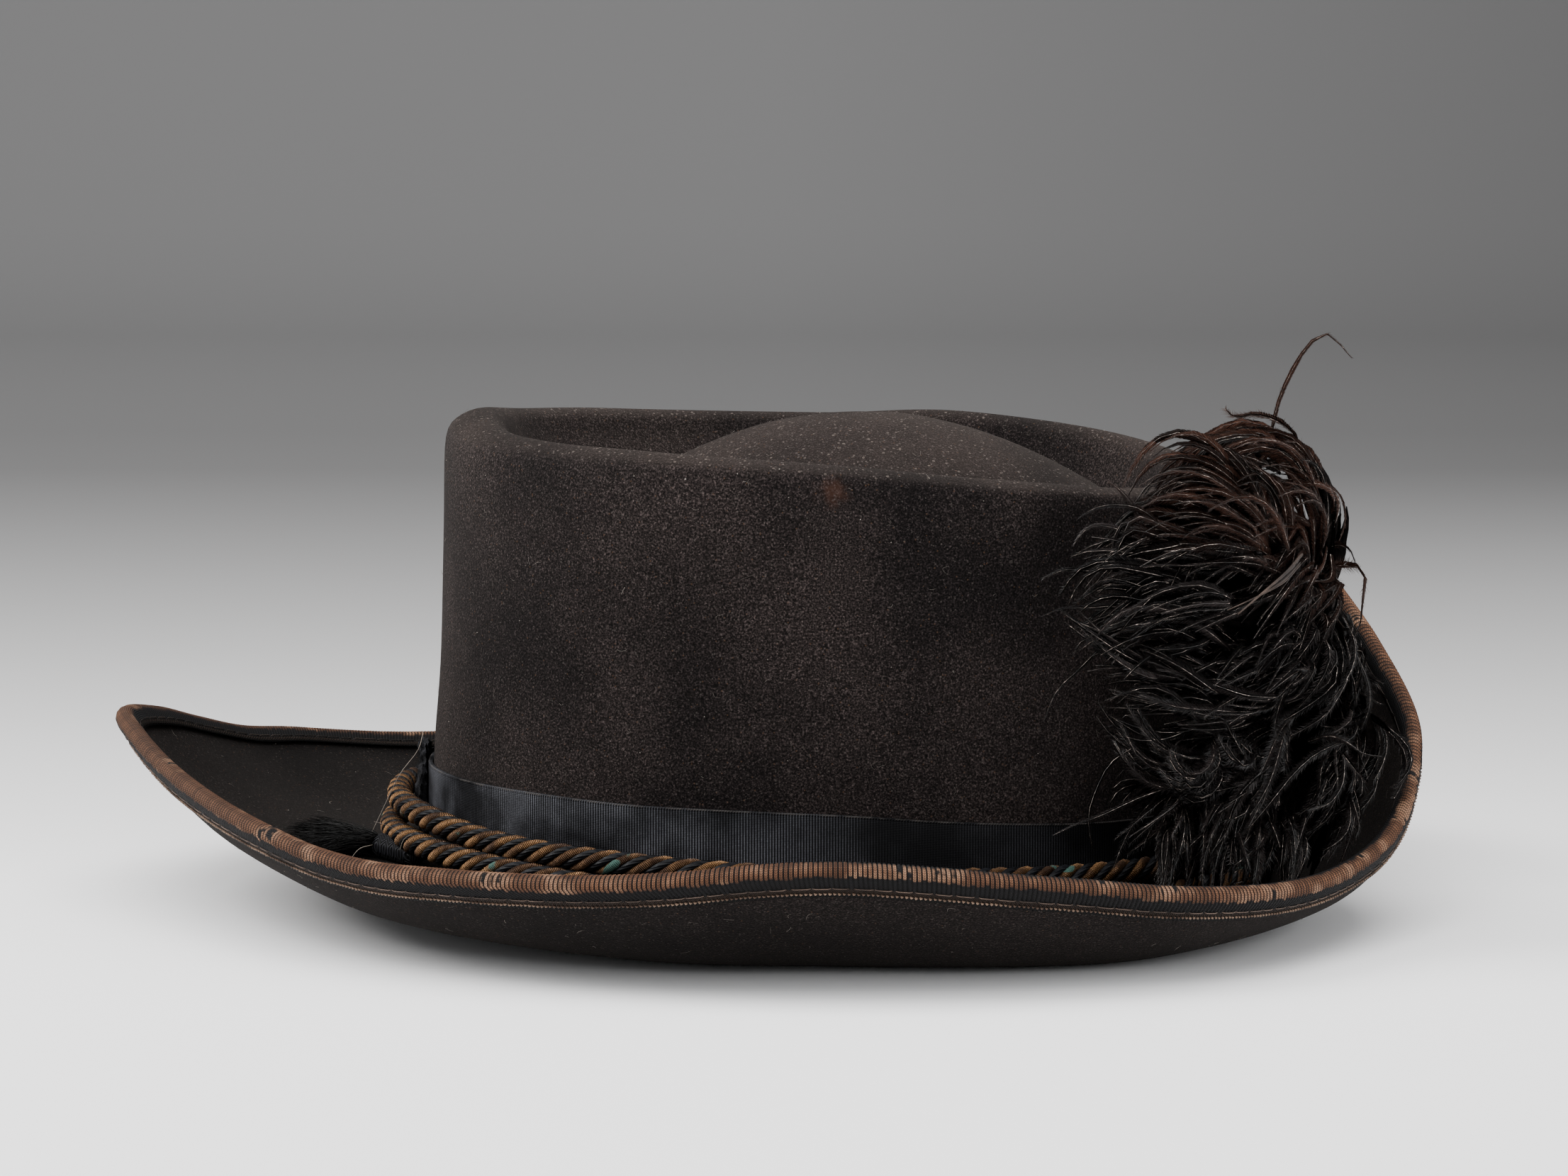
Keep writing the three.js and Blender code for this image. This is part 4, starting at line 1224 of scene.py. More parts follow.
plumeLocks = [
    # arch
    {"part": "crest", "count": 66, "spread": 1.1, "length": 2.0, "start": (0, 0.55),
     "share": (0.32, 0.5), "deep": 7, "sweep": 32, "wide": 1.0, "curl": (-0.8, -3), "guides": [
        [(117, 84, -44), (120.5, 91, -48), (123, 98, -52), (122, 107, -56), (117.5, 115.5, -60),
         (110, 121.5, -65), (101, 124, -70), (92, 121.5, -75), (84, 116, -80), (77, 108.5, -84)],
        [(117, 84, -50), (119, 92, -56), (119.5, 99, -62), (118, 107, -67), (113.6, 114.5, -71),
         (107, 119.5, -75), (98.5, 120.5, -79), (89, 117, -83), (81, 110.5, -86),
         (75, 102.5, -88)],
        [(116, 84, -52), (117, 92, -60), (116.6, 99, -67), (114.6, 106, -72), (111, 112.4, -77),
         (104, 117, -81), (95, 117, -85), (86, 112.5, -88), (79, 105.5, -90), (74, 98, -90)]]},
    # hole top
    {"part": "crest", "count": 28, "spread": 1.6, "length": 2.0, "start": (0, 0.3),
     "share": (0.45, 0.6), "deep": 6, "sweep": 32, "wide": 1.0, "curl": (-0.5, -1), "guides": [
        [(121, 101, -50), (118.5, 109, -58), (112.5, 115, -66), (105, 118, -74),
         (97.5, 117.6, -80), (90, 114.5, -84)],
        [(120, 99, -50), (117, 106.5, -58), (111.5, 112.8, -66), (104.4, 115.8, -74),
         (96.5, 115.2, -80), (88, 111.4, -84)]]},
    # inner arch
    {"part": "crest", "count": 32, "spread": 1.2, "length": 2.0, "start": (0, 0.35),
     "share": (0.4, 0.55), "deep": 7, "sweep": 32, "wide": 1.0, "curl": (-1, -1.6), "guides": [
        [(114, 86, -56), (110, 93, -66), (107.5, 100, -74), (105, 108, -80), (101, 115, -84),
         (96, 120.5, -85), (90, 122, -86), (84, 119, -86)],
        [(113, 86, -58), (108.6, 93, -68), (105.4, 100, -77), (102, 107.4, -82),
         (97, 114.2, -86), (90.6, 118.6, -88), (83.5, 118, -88), (77.6, 113.5, -87)]]},
    # hole foot
    {"part": "crest", "count": 30, "spread": 1.2, "length": 2.0, "start": (0, 0.4),
     "share": (0.5, 0.7), "deep": 7, "sweep": 34, "wide": 1.0, "curl": (-0.8, -1.6), "guides": [
        [(119.4, 90, -46), (116.8, 98, -54), (112, 103.4, -64), (105, 105.2, -74),
         (97.5, 103.8, -82), (90, 99.6, -87)],
        [(118, 86, -46), (114.6, 93.5, -55), (109.6, 98.2, -66), (103, 99.8, -76),
         (95.5, 98.4, -84), (88, 94.6, -88)]]},
    # top fan
    {"part": "crest", "count": 54, "spread": 1.4, "length": 1.5, "start": (0.15, 0.62),
     "share": (0.32, 0.48), "deep": 8, "sweep": 32, "wide": 1.35, "curl": (-0.6, -2.4),
     "guides": [
        [(113, 90, -62), (108.5, 99, -74), (103, 108.5, -83), (95, 115.5, -89), (86, 117.5, -91),
         (79, 115, -90), (75.6, 110.5, -89)],
        [(113, 89, -62), (108, 97, -75), (101.5, 105.5, -85), (93, 112, -91), (84, 113.8, -93),
         (77, 111.5, -91), (73.4, 107, -90)],
        [(113, 88, -62), (107.5, 95, -76), (100, 102, -87), (91, 107.6, -92), (82, 109.8, -94),
         (75, 107.2, -92), (70.4, 102.5, -90)],
        [(113, 87, -62), (106.5, 92.5, -77), (98.5, 98.8, -88), (89.5, 103.6, -93),
         (80, 105.2, -95), (72, 102.4, -92), (66.6, 97, -90)]]},
    # upper fan
    {"part": "fan", "count": 66, "spread": 1.7, "length": 1.5, "start": (0.12, 0.66),
     "share": (0.28, 0.44), "deep": 9, "sweep": 32, "wide": 1.35, "curl": (-0.6, -4), "guides": [
        [(113, 88, -62), (106, 93, -79), (98, 97.5, -89), (89, 101, -94), (79.5, 101.8, -95),
         (71, 99.4, -92), (65.6, 94.6, -88)],
        [(113, 87, -62), (105, 91, -80), (96.5, 94.5, -90), (87, 97, -95), (77, 97.6, -95),
         (68.5, 96.4, -91), (62.6, 93.2, -87)],
        [(113.5, 86, -62), (104.5, 88.4, -80), (95, 90, -91), (85, 92, -96), (75, 92.6, -95),
         (66, 91.4, -91), (60.6, 88.5, -86)],
        [(113.5, 85, -62), (103.5, 85.6, -80), (93.5, 86.2, -91), (83, 87.8, -96),
         (74, 88.8, -95), (66, 87, -91), (61.6, 83.4, -87)]]},
    # middle fan
    {"part": "fan", "count": 84, "spread": 1.9, "length": 1.5, "start": (0.08, 0.68),
     "share": (0.26, 0.38), "deep": 9, "sweep": 33, "wide": 1.35, "curl": (-0.6, -3.6),
     "guides": [
        [(114, 84, -62), (103, 84.2, -80), (92.5, 83.8, -92), (82, 84, -96), (73.5, 85.2, -95),
         (65, 84.4, -90), (58, 82, -87)],
        [(114, 80, -62), (103.5, 79.4, -80), (93, 79, -92), (83, 80, -96), (72.5, 81.6, -95),
         (64, 80.8, -90), (57.6, 78, -87)],
        [(113, 76, -62), (102.5, 75.6, -80), (92, 76.5, -92), (81, 77, -96), (70, 76.6, -94),
         (61, 75, -88), (56.6, 72, -86)],
        [(113, 72, -62), (103, 71, -80), (92.5, 71.5, -92), (82, 72.4, -96), (71.5, 72.6, -94),
         (62, 71.4, -88), (57.4, 68.8, -86)],
        [(112.5, 68, -62), (103, 66.6, -80), (93, 66.4, -92), (82.5, 68.4, -96), (72, 70, -94),
         (63, 69.8, -88), (58, 67.4, -86)]]},
    # root fan
    {"part": "fan", "count": 64, "spread": 2.4, "length": 1.5, "start": (0, 0.2),
     "share": (0.36, 0.5), "deep": 5, "sweep": 36, "wide": 1.35, "curl": (-1, -2.4), "guides": [
        [(119, 94, -58), (112, 93, -72), (104, 91, -84), (95, 89, -92), (85, 88.5, -96)],
        [(119, 84, -58), (111.5, 81, -74), (103, 80, -86), (94, 80, -94), (84, 80, -97)],
        [(118, 72, -60), (111, 69, -76), (102.5, 68.5, -88), (93.5, 69.5, -95), (84, 71.5, -97)],
        [(117, 62, -60), (110, 58, -76), (101.5, 57, -88), (92.5, 59, -95), (83, 62.5, -97)]]},
    # slanting
    {"part": "fan", "count": 76, "spread": 2.0, "length": 1.5, "start": (0.06, 0.66),
     "share": (0.26, 0.38), "deep": 9, "sweep": 36, "wide": 1.35, "curl": (-1.6, -1.2),
     "guides": [
        [(112, 64, -62), (103, 62, -80), (94, 62.6, -92), (84.5, 65.6, -96), (75, 70, -94),
         (66.5, 75.4, -89), (60, 80, -86)],
        [(111, 60, -62), (102.5, 57.4, -80), (93.5, 58.6, -92), (84, 61.6, -96), (73.5, 66, -94),
         (64, 71.4, -88), (57, 76.4, -85)],
        [(111, 56, -62), (102, 53, -80), (92.5, 53.8, -92), (82.5, 57, -96), (72, 61.6, -94),
         (62.5, 66.6, -88), (56, 71, -85)],
        [(109, 52, -62), (99, 48.5, -80), (89, 49, -92), (79, 52.4, -95), (70, 57.4, -93),
         (62, 62.6, -88), (57, 67, -85)],
        [(107, 48, -62), (97, 44, -80), (87, 43.8, -90), (77.6, 47, -93), (69, 52, -91),
         (62.4, 57, -88), (58.6, 61.6, -86)]]},
    # left curls
    {"part": "lower", "count": 34, "spread": 1.3, "length": 2.4, "start": (0, 0.3),
     "share": (0.6, 0.75), "deep": 7, "sweep": 50, "wide": 1.15, "curl": (0, 1), "guides": [
        [(104, 52, -66), (95, 46.5, -84), (86, 45, -93), (79, 49, -95), (75.5, 56, -93)],
        [(102, 50, -66), (92, 43, -84), (83, 41.5, -93), (75.5, 46, -95), (71, 54, -92)],
        [(100, 48, -66), (89, 40.5, -84), (79, 40, -92), (71, 45, -93), (66, 53, -90)],
        [(98, 46, -66), (85, 38.5, -82), (75, 39, -89), (67, 44, -90), (61, 51.5, -88)]]},
    # middle curls
    {"part": "lower", "count": 20, "spread": 0.9, "length": 2.4, "start": (0, 0.1),
     "share": (0.8, 0.9), "deep": 3, "sweep": 56, "wide": 1.15, "curl": (0, 0), "guides": [
        [(92.5, 48, -84), (92, 42, -91), (89.5, 38.2, -96), (85.8, 37.6, -97), (81.6, 41.5, -96),
         (78.6, 47.5, -94)],
        [(94, 44, -84), (93.8, 38, -91), (91, 33.4, -96), (87.6, 32.6, -97), (83.6, 36, -96),
         (80.2, 41, -94)]]},
    # centre curls
    {"part": "lower", "count": 40, "spread": 2.1, "length": 2.4, "start": (0, 0.25),
     "share": (0.6, 0.8), "deep": 7, "sweep": 54, "wide": 1.15, "curl": (0, 1), "guides": [
        [(106, 54, -74), (104.4, 46.5, -86), (102.4, 43.2, -93), (99.6, 43.6, -95),
         (97.6, 48.4, -94)],
        [(110, 50, -70), (105, 43, -84), (101, 38.6, -93), (96, 41, -96), (90, 47, -95)],
        [(112, 50, -68), (108, 43, -84), (104, 38, -93), (99, 36, -96), (93, 39.6, -96)],
        [(113, 52, -68), (110, 45, -82), (107.5, 37, -90), (103.2, 32, -94), (97, 28, -95)]]},
    # foot
    {"part": "lower", "count": 92, "spread": 1.5, "length": 2.1, "start": (0.05, 0.34),
     "share": (0.55, 0.72), "deep": 5, "sweep": 42, "wide": 1.15, "curl": (-0.8, 0.6), "guides": [
        [(84, 36, -86), (80, 27, -93), (77.6, 19, -101), (76, 9, -104)],
        [(89, 34, -88), (86, 26, -94), (84.4, 18, -102), (83, 9, -105)],
        [(95, 33, -88), (93, 25, -94), (91.8, 17, -102), (90.6, 9, -105)],
        [(101, 33, -86), (100, 25, -92), (99, 17, -100), (98, 9, -103)],
        [(107, 33, -82), (106.6, 25, -88), (106, 17, -95), (105, 9, -98)],
        [(113, 33, -76), (113.4, 25, -81), (113, 17, -89), (112, 9, -92)]]},
    # hem
    {"part": "lower", "count": 76, "spread": 2.4, "length": 2.1, "start": (0.25, 0.6),
     "share": (0.36, 0.5), "deep": 8, "sweep": 42, "wide": 1.15, "curl": (-1.2, 0.8), "guides": [
        [(95, 44, -62), (87, 39.5, -76), (80, 33.5, -84), (75.4, 25, -93), (74.6, 14, -99)],
        [(99, 43, -62), (92, 38, -78), (86, 31, -88), (82.6, 22, -98), (81, 11, -103)],
        [(103, 42, -62), (98, 36.5, -78), (93.5, 29.5, -90), (91, 21, -99), (89, 10, -103)],
        [(107, 42, -60), (104, 36, -76), (100.5, 29, -87), (98.5, 21, -97), (97, 10, -101)],
        [(111, 42, -58), (110.5, 35, -72), (108.5, 28, -83), (106.5, 20, -92), (104, 10, -97)],
        [(114, 42, -56), (115.5, 34.5, -68), (115, 27, -76), (113.5, 20, -82), (112, 11, -90)]]},
    # right hem
    {"part": "lower", "count": 60, "spread": 2.5, "length": 2.3, "start": (0.05, 0.6),
     "share": (0.3, 0.44), "deep": 7, "sweep": 44, "wide": 1.15, "curl": (-3.6, 1.6), "guides": [
        [(114, 50, -54), (119, 44, -63), (120, 34, -71), (118.5, 23, -77), (115.5, 12, -81)],
        [(117, 56, -48), (123, 50, -57), (125.6, 39, -65), (124.4, 27.5, -71), (120, 15, -76)],
        [(118, 63, -46), (126, 57, -52), (130.6, 46, -58), (131, 34, -63), (127, 21, -68)],
        [(119, 72, -44), (128, 66, -48), (133.6, 55, -52), (134.6, 43, -56), (132, 30, -60)]]},
    # right fall
    {"part": "lower", "count": 60, "spread": 2.4, "length": 2.2, "start": (0.02, 0.6),
     "share": (0.28, 0.42), "deep": 7, "sweep": 40, "wide": 1.0, "curl": (-3, -1), "guides": [
        [(116.5, 88, -48), (115.4, 80, -62), (113.4, 71, -73), (110, 62, -80), (105, 54, -85)],
        [(117.5, 88, -44), (118.6, 80, -58), (118, 71, -68), (115.5, 61, -75), (110.6, 52, -80)],
        [(118.5, 87, -42), (122.4, 79.5, -52), (123.6, 70, -61), (121.6, 60, -68),
         (117, 50, -73)],
        [(119.5, 86, -40), (126, 79, -46), (129, 70, -53), (129.5, 60, -59), (126, 50, -64)]]},
]

# single barbs: their piece, the barbules' length and sweep, and their guide
plumeSingles = [
    ("crest", 2.6, 55, [(112.5, 121, -66), (110.5, 123.8, -68), (106, 126.4, -70),
                        (101, 127.2, -72), (97.5, 126.4, -73), (95, 128.6, -74)]),
    ("crest", 1.2, 25, [(106, 122, -66), (108.5, 132, -66), (113.5, 142, -66), (118.5, 147, -66),
                        (122.5, 144.6, -66), (125.6, 141, -66)]),
    ("crest", 2.2, 30, [(111, 94, -84), (109.4, 99.4, -90), (106.4, 104.4, -94),
                        (102, 107.2, -96), (96.4, 106.6, -97), (91.4, 104, -97)]),
    ("crest", 1.6, 40, [(114, 90, -58), (113, 97, -62), (110, 103.5, -64), (106.5, 105.8, -66)]),
    ("crest", 1.6, 40, [(116, 96, -56), (113.6, 104, -58), (108.6, 109.6, -60),
                        (104, 108.6, -62)]),
    ("crest", 1.4, 40, [(115, 100, -52), (111, 108.6, -54), (106.4, 112.6, -56),
                        (103.4, 111, -58)]),
    ("lower", 2.6, 62, [(119.5, 90, -46), (123.4, 90.4, -50), (127.4, 90.2, -54),
                        (129.3, 87.6, -56), (128.8, 82, -58), (128.4, 76, -59), (126, 70, -60)]),
    ("crest", 1.9, 50, [(121, 95, -48), (123.4, 95.4, -52), (125.6, 94.2, -54), (127, 91.4, -55)]),
    ("crest", 1.1, 30, [(121, 110, -50), (123.6, 106.5, -50), (124.4, 101, -50),
                        (122.8, 95.4, -50)]),
    ("fan", 1.5, 30, [(74, 88, -90), (68, 89.6, -90), (62.8, 89, -88), (56.4, 89.4, -88),
                      (51, 87.2, -88)]),
    ("fan", 1.5, 28, [(74, 79, -90), (68, 80.4, -90), (62.8, 80, -88), (56.4, 80, -88),
                      (51, 78, -88)]),
    ("fan", 1.6, 30, [(80, 100, -92), (74.5, 104.2, -91), (68.5, 105.2, -89), (63.6, 104.4, -88),
                      (59.6, 102, -87)]),
    ("fan", 1.4, 30, [(76, 96, -92), (70, 99, -90), (64.6, 100.2, -89), (60.8, 98.8, -88),
                      (58.4, 95.4, -87)]),
    ("fan", 1.6, 34, [(77, 97, -90), (74, 103, -88), (70.4, 108, -87), (67, 110.8, -86)]),
    ("fan", 0.9, 20, [(72, 76, -88), (65, 70, -88), (59, 64, -88), (54.4, 59.4, -88),
                      (51.3, 52, -88)]),
    ("lower", 1.1, 24, [(80, 35, -92), (74, 32.8, -93), (66, 29, -94), (59, 26.4, -95),
                        (54, 24, -96)]),
    ("lower", 1.4, 30, [(74, 46, -90), (68, 42, -90), (64.6, 36, -91), (62.4, 28.6, -92),
                        (63.4, 20.6, -93)]),
    ("lower", 2.2, 45, [(116, 47, -70), (121, 48.4, -74), (125.4, 47, -78), (129.6, 44, -80),
                        (133.4, 43.4, -82)]),
    ("lower", 2.0, 40, [(124, 47, -70), (117.4, 43.6, -80), (112, 38.4, -86), (107, 32, -90),
                        (100.4, 24, -93)]),
    ("lower", 2.7, 42, [(106, 40, -84), (101.6, 36.6, -92), (98.4, 32, -96), (96.4, 26, -97),
                        (94, 21.4, -97)]),
    ("lower", 1.9, 36, [(125, 42.4, -74), (124.6, 36.6, -78), (121.6, 32, -81), (116.6, 30, -83)]),
    ("lower", 2.3, 60, [(124.6, 44, -76), (127, 41, -79), (130, 37.4, -81)]),
    ("fan", 2.0, 34, [(108, 58, -80), (101, 58.4, -90), (93, 61, -95), (86, 63.4, -97),
                      (79.4, 64.8, -97)]),
    ("fan", 2.4, 46, [(98, 54.4, -88), (90, 55, -95), (83, 55.8, -98), (75, 58.6, -98)]),
    ("lower", 1.9, 40, [(113, 66, -66), (110, 59, -76), (108, 52, -82), (108.4, 48.4, -84)]),
    ("lower", 1.9, 40, [(127, 70, -54), (130.4, 62, -60), (131, 56, -64), (129, 50, -67)]),
]


def fromSheet(guide):
    eye, sheet = np.array(plumeSettings["eye"]), plumeSettings["sheet"]
    guide = np.asarray(guide, float)
    drawn = np.stack([guide[:, 0], np.full(len(guide), float(sheet)), guide[:, 1]], 1)
    share = (guide[:, 2] - eye[1]) / (sheet - eye[1])
    return eye + (drawn - eye) * share[:, None]


def guidePath(guide):
    return fromSheet(smoothPath(guide, plumeSettings["steps"]))


def evenPath(path, count):
    run = runAlong(path)
    marks = np.linspace(0, run[-1], count)
    return np.stack([np.interp(marks, run, path[:, k]) for k in range(3)], 1), run[-1]


def readPath(path, marks):
    # a path's points at any marks between its own
    index = np.minimum(marks.astype(int), len(path) - 2)
    part = (marks - index)[:, None]
    return path[index] * (1 - part) + path[index + 1] * part


def growBarb(path, length, sweep, rng, dense=1.0, wide=1.0):
    # a thin shaft, a combed vane with drooping edges and barbules that stand out past them
    look = plumeSettings
    rings = look["rings"]
    path, run = evenPath(path, rings)
    t = np.linspace(0, 1, rings)
    along = unit(np.gradient(path, axis=0))
    # the vane's flat lies in the plume's surface
    facing = (path - np.array(look["heart"])) * np.array(look["flatness"])
    side = unit(np.cross(along, facing))
    twist, more = look["twist"]
    angle = rng.normal(0, twist) + t * rng.normal(0, more)
    across = turned(side, np.cross(side, along), angle)
    rise = np.cross(across, along)
    if np.mean(rise[:, 1]) > 0:
        rise = -rise
    shaft = tubeParts(path + rise * look["shaftRise"], look["shaftRadius"] * (1 - 0.7 * t), 3)
    swell = 0.35 + 0.65 * np.sin(math.pi * np.minimum(t * 0.9 + 0.12, 1))
    width = look["vane"] * length * wide * swell
    width = width * rng.uniform(*look["ragged"], rings) * (1 - 0.75 * t**4)
    droop = rise * (width * look["droop"])[:, None]
    left = path - across * width[:, None] - droop
    right = path + across * width[:, None] - droop
    above, below = look["vaneThick"]
    vane = np.stack([left, path + rise * above, right, path - rise * below], 1)
    count = int(run / look["pitch"] * dense)
    slivers = []
    for hand, edge in ((-1, left), (1, right)):
        share = np.clip((np.arange(count) + rng.uniform(0, 1, count)) / count, 0, 1)
        middle, rim, ahead, outward, off = (
            readPath(values, share * (rings - 1)) for values in (path, edge, along, across, rise))
        root = middle + (rim - middle) * look["barbuleFrom"]
        sway = rng.normal(0, look["barbuleSway"], count)
        angle = np.radians(sweep + sway - look["barbuleClose"] * share)
        size = length * (1 - 0.4 * share**3) * np.minimum(1, 0.4 + share * 4)
        size = size * rng.uniform(*look["barbuleShare"], count)
        heading = unit(turned(ahead, outward * hand, angle)
                       + off * rng.normal(0.02, 0.16, count)[:, None])
        tip = root + heading * size[:, None] + ahead * (size * 0.1)[:, None]
        half = look["barbuleWidth"] / 2 * rng.uniform(0.7, 1.2, count)[:, None]
        foot = [root - ahead * half, root + ahead * half, root + off * half * 0.8]
        slivers.append(np.stack(foot + [tip], 1))
    return shaft, vane, np.concatenate(slivers)


def lockPaths(lock, rng, down):
    look = plumeSettings
    steps = look["steps"]
    guides = np.array([evenPath(guidePath(guide), steps)[0] for guide in lock["guides"]])
    t = np.linspace(0, 1, steps)[:, None]
    spread, left = lock["spread"], lock["count"]
    stray = look["downStray"] if down else 1
    while left > 0:
        # barbs cling together in small tufts, but down lies evenly
        members = 1 if down else min(left, int(rng.integers(*look["tuft"])))
        left -= members
        centre = rng.uniform(0, 1) * 1.1 - 0.05
        if down:
            centre = (left + 0.5) / lock["count"]
        shared = rng.normal(0, spread, (3, 3))
        layer = rng.uniform(0, 1) ** 1.2 * lock["deep"]
        begin = rng.uniform(*lock["start"])
        for _ in range(members):
            pick = min(max(centre + rng.normal(0, 0.03), 0), 1) * (len(guides) - 1)
            low = min(int(pick), len(guides) - 2)
            path = guides[low] + (guides[low + 1] - guides[low]) * (pick - low)
            first = min(max(begin + rng.normal(0, 0.04), 0), 0.9)
            last = min(first + rng.uniform(*lock["share"]), 1)
            path = readPath(path, np.linspace(first, last, steps) * (steps - 1))
            root, bend, tip = shared + rng.normal(0, spread * 0.45, (3, 3))
            path = path + root * (1 - t) * 0.6 + bend * np.sin(t * math.pi) + tip * t * 1.5
            path[:, 2:] += rng.normal(1, 0.8) * stray * np.sin(t * math.pi)
            curl = rng.normal(1, 0.45) * grown(t, 0.45, 0.55) ** 2
            lift = -abs(rng.normal(0, 2.2)) * stray
            outward, upward = (0, 0) if down else lock["curl"]
            path = path + curl * np.array([outward, lift, upward])
            # each barb comes up from deeper in the plume
            deeper = max(layer + rng.normal(0, 0.8), -1)
            sunk = look["riseFrom"] * (1 - np.clip(t / 0.35, 0, 1)) ** 2 * min(first * 6, 1)
            path[:, 1:2] += deeper * np.sin(np.clip(t * 2 + first, 0, 1) * math.pi / 2)
            path[:, 1:2] += sunk
            yield path, deeper


def vanePiece(name, vanes, material):
    rings = plumeSettings["rings"]
    i, j = gridPairs(rings - 1, 4)
    corners = ((i, j), (i, j + 1), (i + 1, j + 1), (i + 1, j))
    quads = np.stack([a * 4 + b % 4 for a, b in corners], 1)
    sides = np.array([-1.0, 0.0, 1.0, 0.0])
    marks = np.stack([np.stack([sides[b % 4], a / (rings - 1)], 1) for a, b in corners], 1)
    caps = np.array([(3, 2, 1, 0), tuple((rings - 1) * 4 + k for k in range(4))])
    capMarks = np.stack([np.stack([sides[::-1], np.zeros(4)], 1),
                         np.stack([sides, np.ones(4)], 1)])
    faces, uvs = [], []
    for number, vane in enumerate(vanes):
        # each vane's marks run on from the last, so that each has a shade of its own
        lifted = np.concatenate([marks, capMarks]) + np.array([0, number])
        out, outMarks = facingOut(vane.reshape(-1, 3), np.concatenate([quads, caps]), lifted)
        faces.append(out + number * rings * 4)
        uvs.append(outMarks)
    points = np.concatenate([vane.reshape(-1, 3) for vane in vanes])
    return newPiece(name, points, np.concatenate(faces).tolist(), material, np.concatenate(uvs))


def barbulePiece(name, barbs, material):
    slivers = np.concatenate(barbs)
    number = np.concatenate([np.full(len(barb), k) for k, barb in enumerate(barbs)])
    start = np.arange(len(slivers))[:, None] * 4
    corners = np.array([(0, 1, 2), (1, 0, 3), (2, 1, 3), (0, 2, 3)])
    a, b, c, d = (slivers[:, k] for k in range(4))
    inside = np.einsum("ij,ij->i", np.cross(b - a, c - a), d - a) > 0
    order = np.where(inside[:, None, None], corners[None][:, :, ::-1], corners[None])
    faces = (start[:, :, None] + order).reshape(-1, 3)
    outer = (order == 3).astype(float).reshape(-1, 3)
    barb = np.repeat(number + 0.5, 4)[:, None] + np.zeros(3)
    uvs = np.stack([barb, outer * 0.9 + 0.05], 2)
    return newPiece(name, slivers.reshape(-1, 3), faces.tolist(), material, uvs, False)


def makePlume():
    look = plumeSettings
    rng = np.random.default_rng(11)
    down, shafts, vanes = [], [], []
    barbules = {"crest": [], "fan": [], "lower": []}

    def add(part, shaft, vane, slivers):
        shafts.append(shaft)
        vanes.append(vane)
        barbules[part].append(slivers)

    for lock in plumeDown:
        for path, _ in lockPaths(lock, rng, True):
            length = lock["length"] * rng.uniform(*look["lengthShare"])
            down.append(growBarb(path, length, 0, rng, 0, look["downWidth"])[1])
    for lock in plumeLocks:
        for path, deeper in lockPaths(lock, rng, False):
            dense = next(share for depth, share in look["dense"] if deeper < depth)
            length = lock["length"] * rng.uniform(*look["lengthShare"])
            sweep = lock["sweep"] * rng.uniform(*look["sweepShare"])
            add(lock["part"], *growBarb(path, length, sweep, rng, dense, lock["wide"]))
    for part, length, sweep, guide in plumeSingles:
        add(part, *growBarb(guidePath(guide), length, sweep, rng, look["singleDense"]))
    # painted glints: the shafts' strong grain lifts sparse spots to pale
    shaft = mottledMaterial("barb_shaft", 0.22, 0.8, *look["shaftToneAndGlints"])
    addBump(*shaft[1:], 0.0001, 0.3)
    tubePiece("plume_shafts", shafts, shaft[0], "plume", "plume")
    keep(vanePiece("plume_vanes", vanes, vaneMaterial()), "plume")
    matt = mottledMaterial("black_down", 0.8, 0.02, *look["downTone"])[0]
    keep(vanePiece("plume_backing", down, matt), "plume")
    silk = barbuleMaterial()
    for part, barbs in barbules.items():
        piece = barbulePiece("plume_" + part, barbs, silk)
        keep(piece, "plume")
        print("plume", part + ":", len(barbs), "barbs,", len(piece.data.polygons), "triangles")
    makeBrokenVane()
    quill = tubeParts(smoothPath(look["quill"], 40), np.linspace(*look["quillRadii"], 40), 10)
    horn = threadMaterial("quill_horn", *look["quillHorn"])
    tubePiece("plume_quill", [quill], horn, "plume")
    print("plume in all:", len(vanes), "barbs,", len(down), "of down")


# The pale split end of a broken quill that stands out of the plume's middle.
def makeBrokenVane():
    look, count = plumeSettings, 12
    t = np.linspace(0, 1, count)
    paths = [fromSheet(smoothPath(half[0], count)) for half in look["halves"]]
    shafts, webs = [], []
    for path, other, (_, radius, thinning, width) in zip(paths, paths[::-1], look["halves"]):
        shafts.append(tubeParts(path, radius * (1 - thinning * t), 5))
        along = pathFrames(path)[0]
        reach = width * np.sin(np.minimum(t * 1.1 + 0.1, 1) * math.pi) + 0.1
        edge = path + unit(other - path) * reach[:, None] - along * (reach * 0.5)[:, None]
        nearer = np.array([0, -0.06, 0])
        points = np.stack([path + nearer, edge + nearer * 0.3, path - nearer], 1).reshape(-1, 3)
        i, j = gridPairs(count - 1, 3)
        j2 = (j + 1) % 3
        quads = np.stack([i * 3 + j, i * 3 + j2, i * 3 + 3 + j2, i * 3 + 3 + j], 1)
        last = tuple(range(count * 3 - 3, count * 3))
        webs.append((points, [(2, 1, 0), last] + quads.tolist()))
    horn = threadMaterial("pale_quill", *look["halfHorn"])
    tubePiece("broken_quill", shafts + webs, horn, "plume")


# Black to sunburnt brown from the plume's foot to its top, with a share for each barb.
def makeFeatherGroup():
    look = plumeSettings
    number, colour = "NodeSocketFloat", "NodeSocketColor"
    group, (barb,), leave = newGroup("feather", [("Barb", number, 0.5)], [("Colour", colour)])
    place = objectPlace(group)
    x, _, z = axisParts(place)
    # browner at the top and the back than at the front
    sunned = ramp(z + (x - 0.1) * 0.6 + noiseAt(place, 70.0, 2.0) * 0.03, 0.108, 0.138)
    black = blendColour(barb.math("POWER", 3.6), *look["black"])
    feed(leave[0], blendColour(sunned, black, blendColour(barb, *look["brown"])))
    return group


feather = makeFeatherGroup()


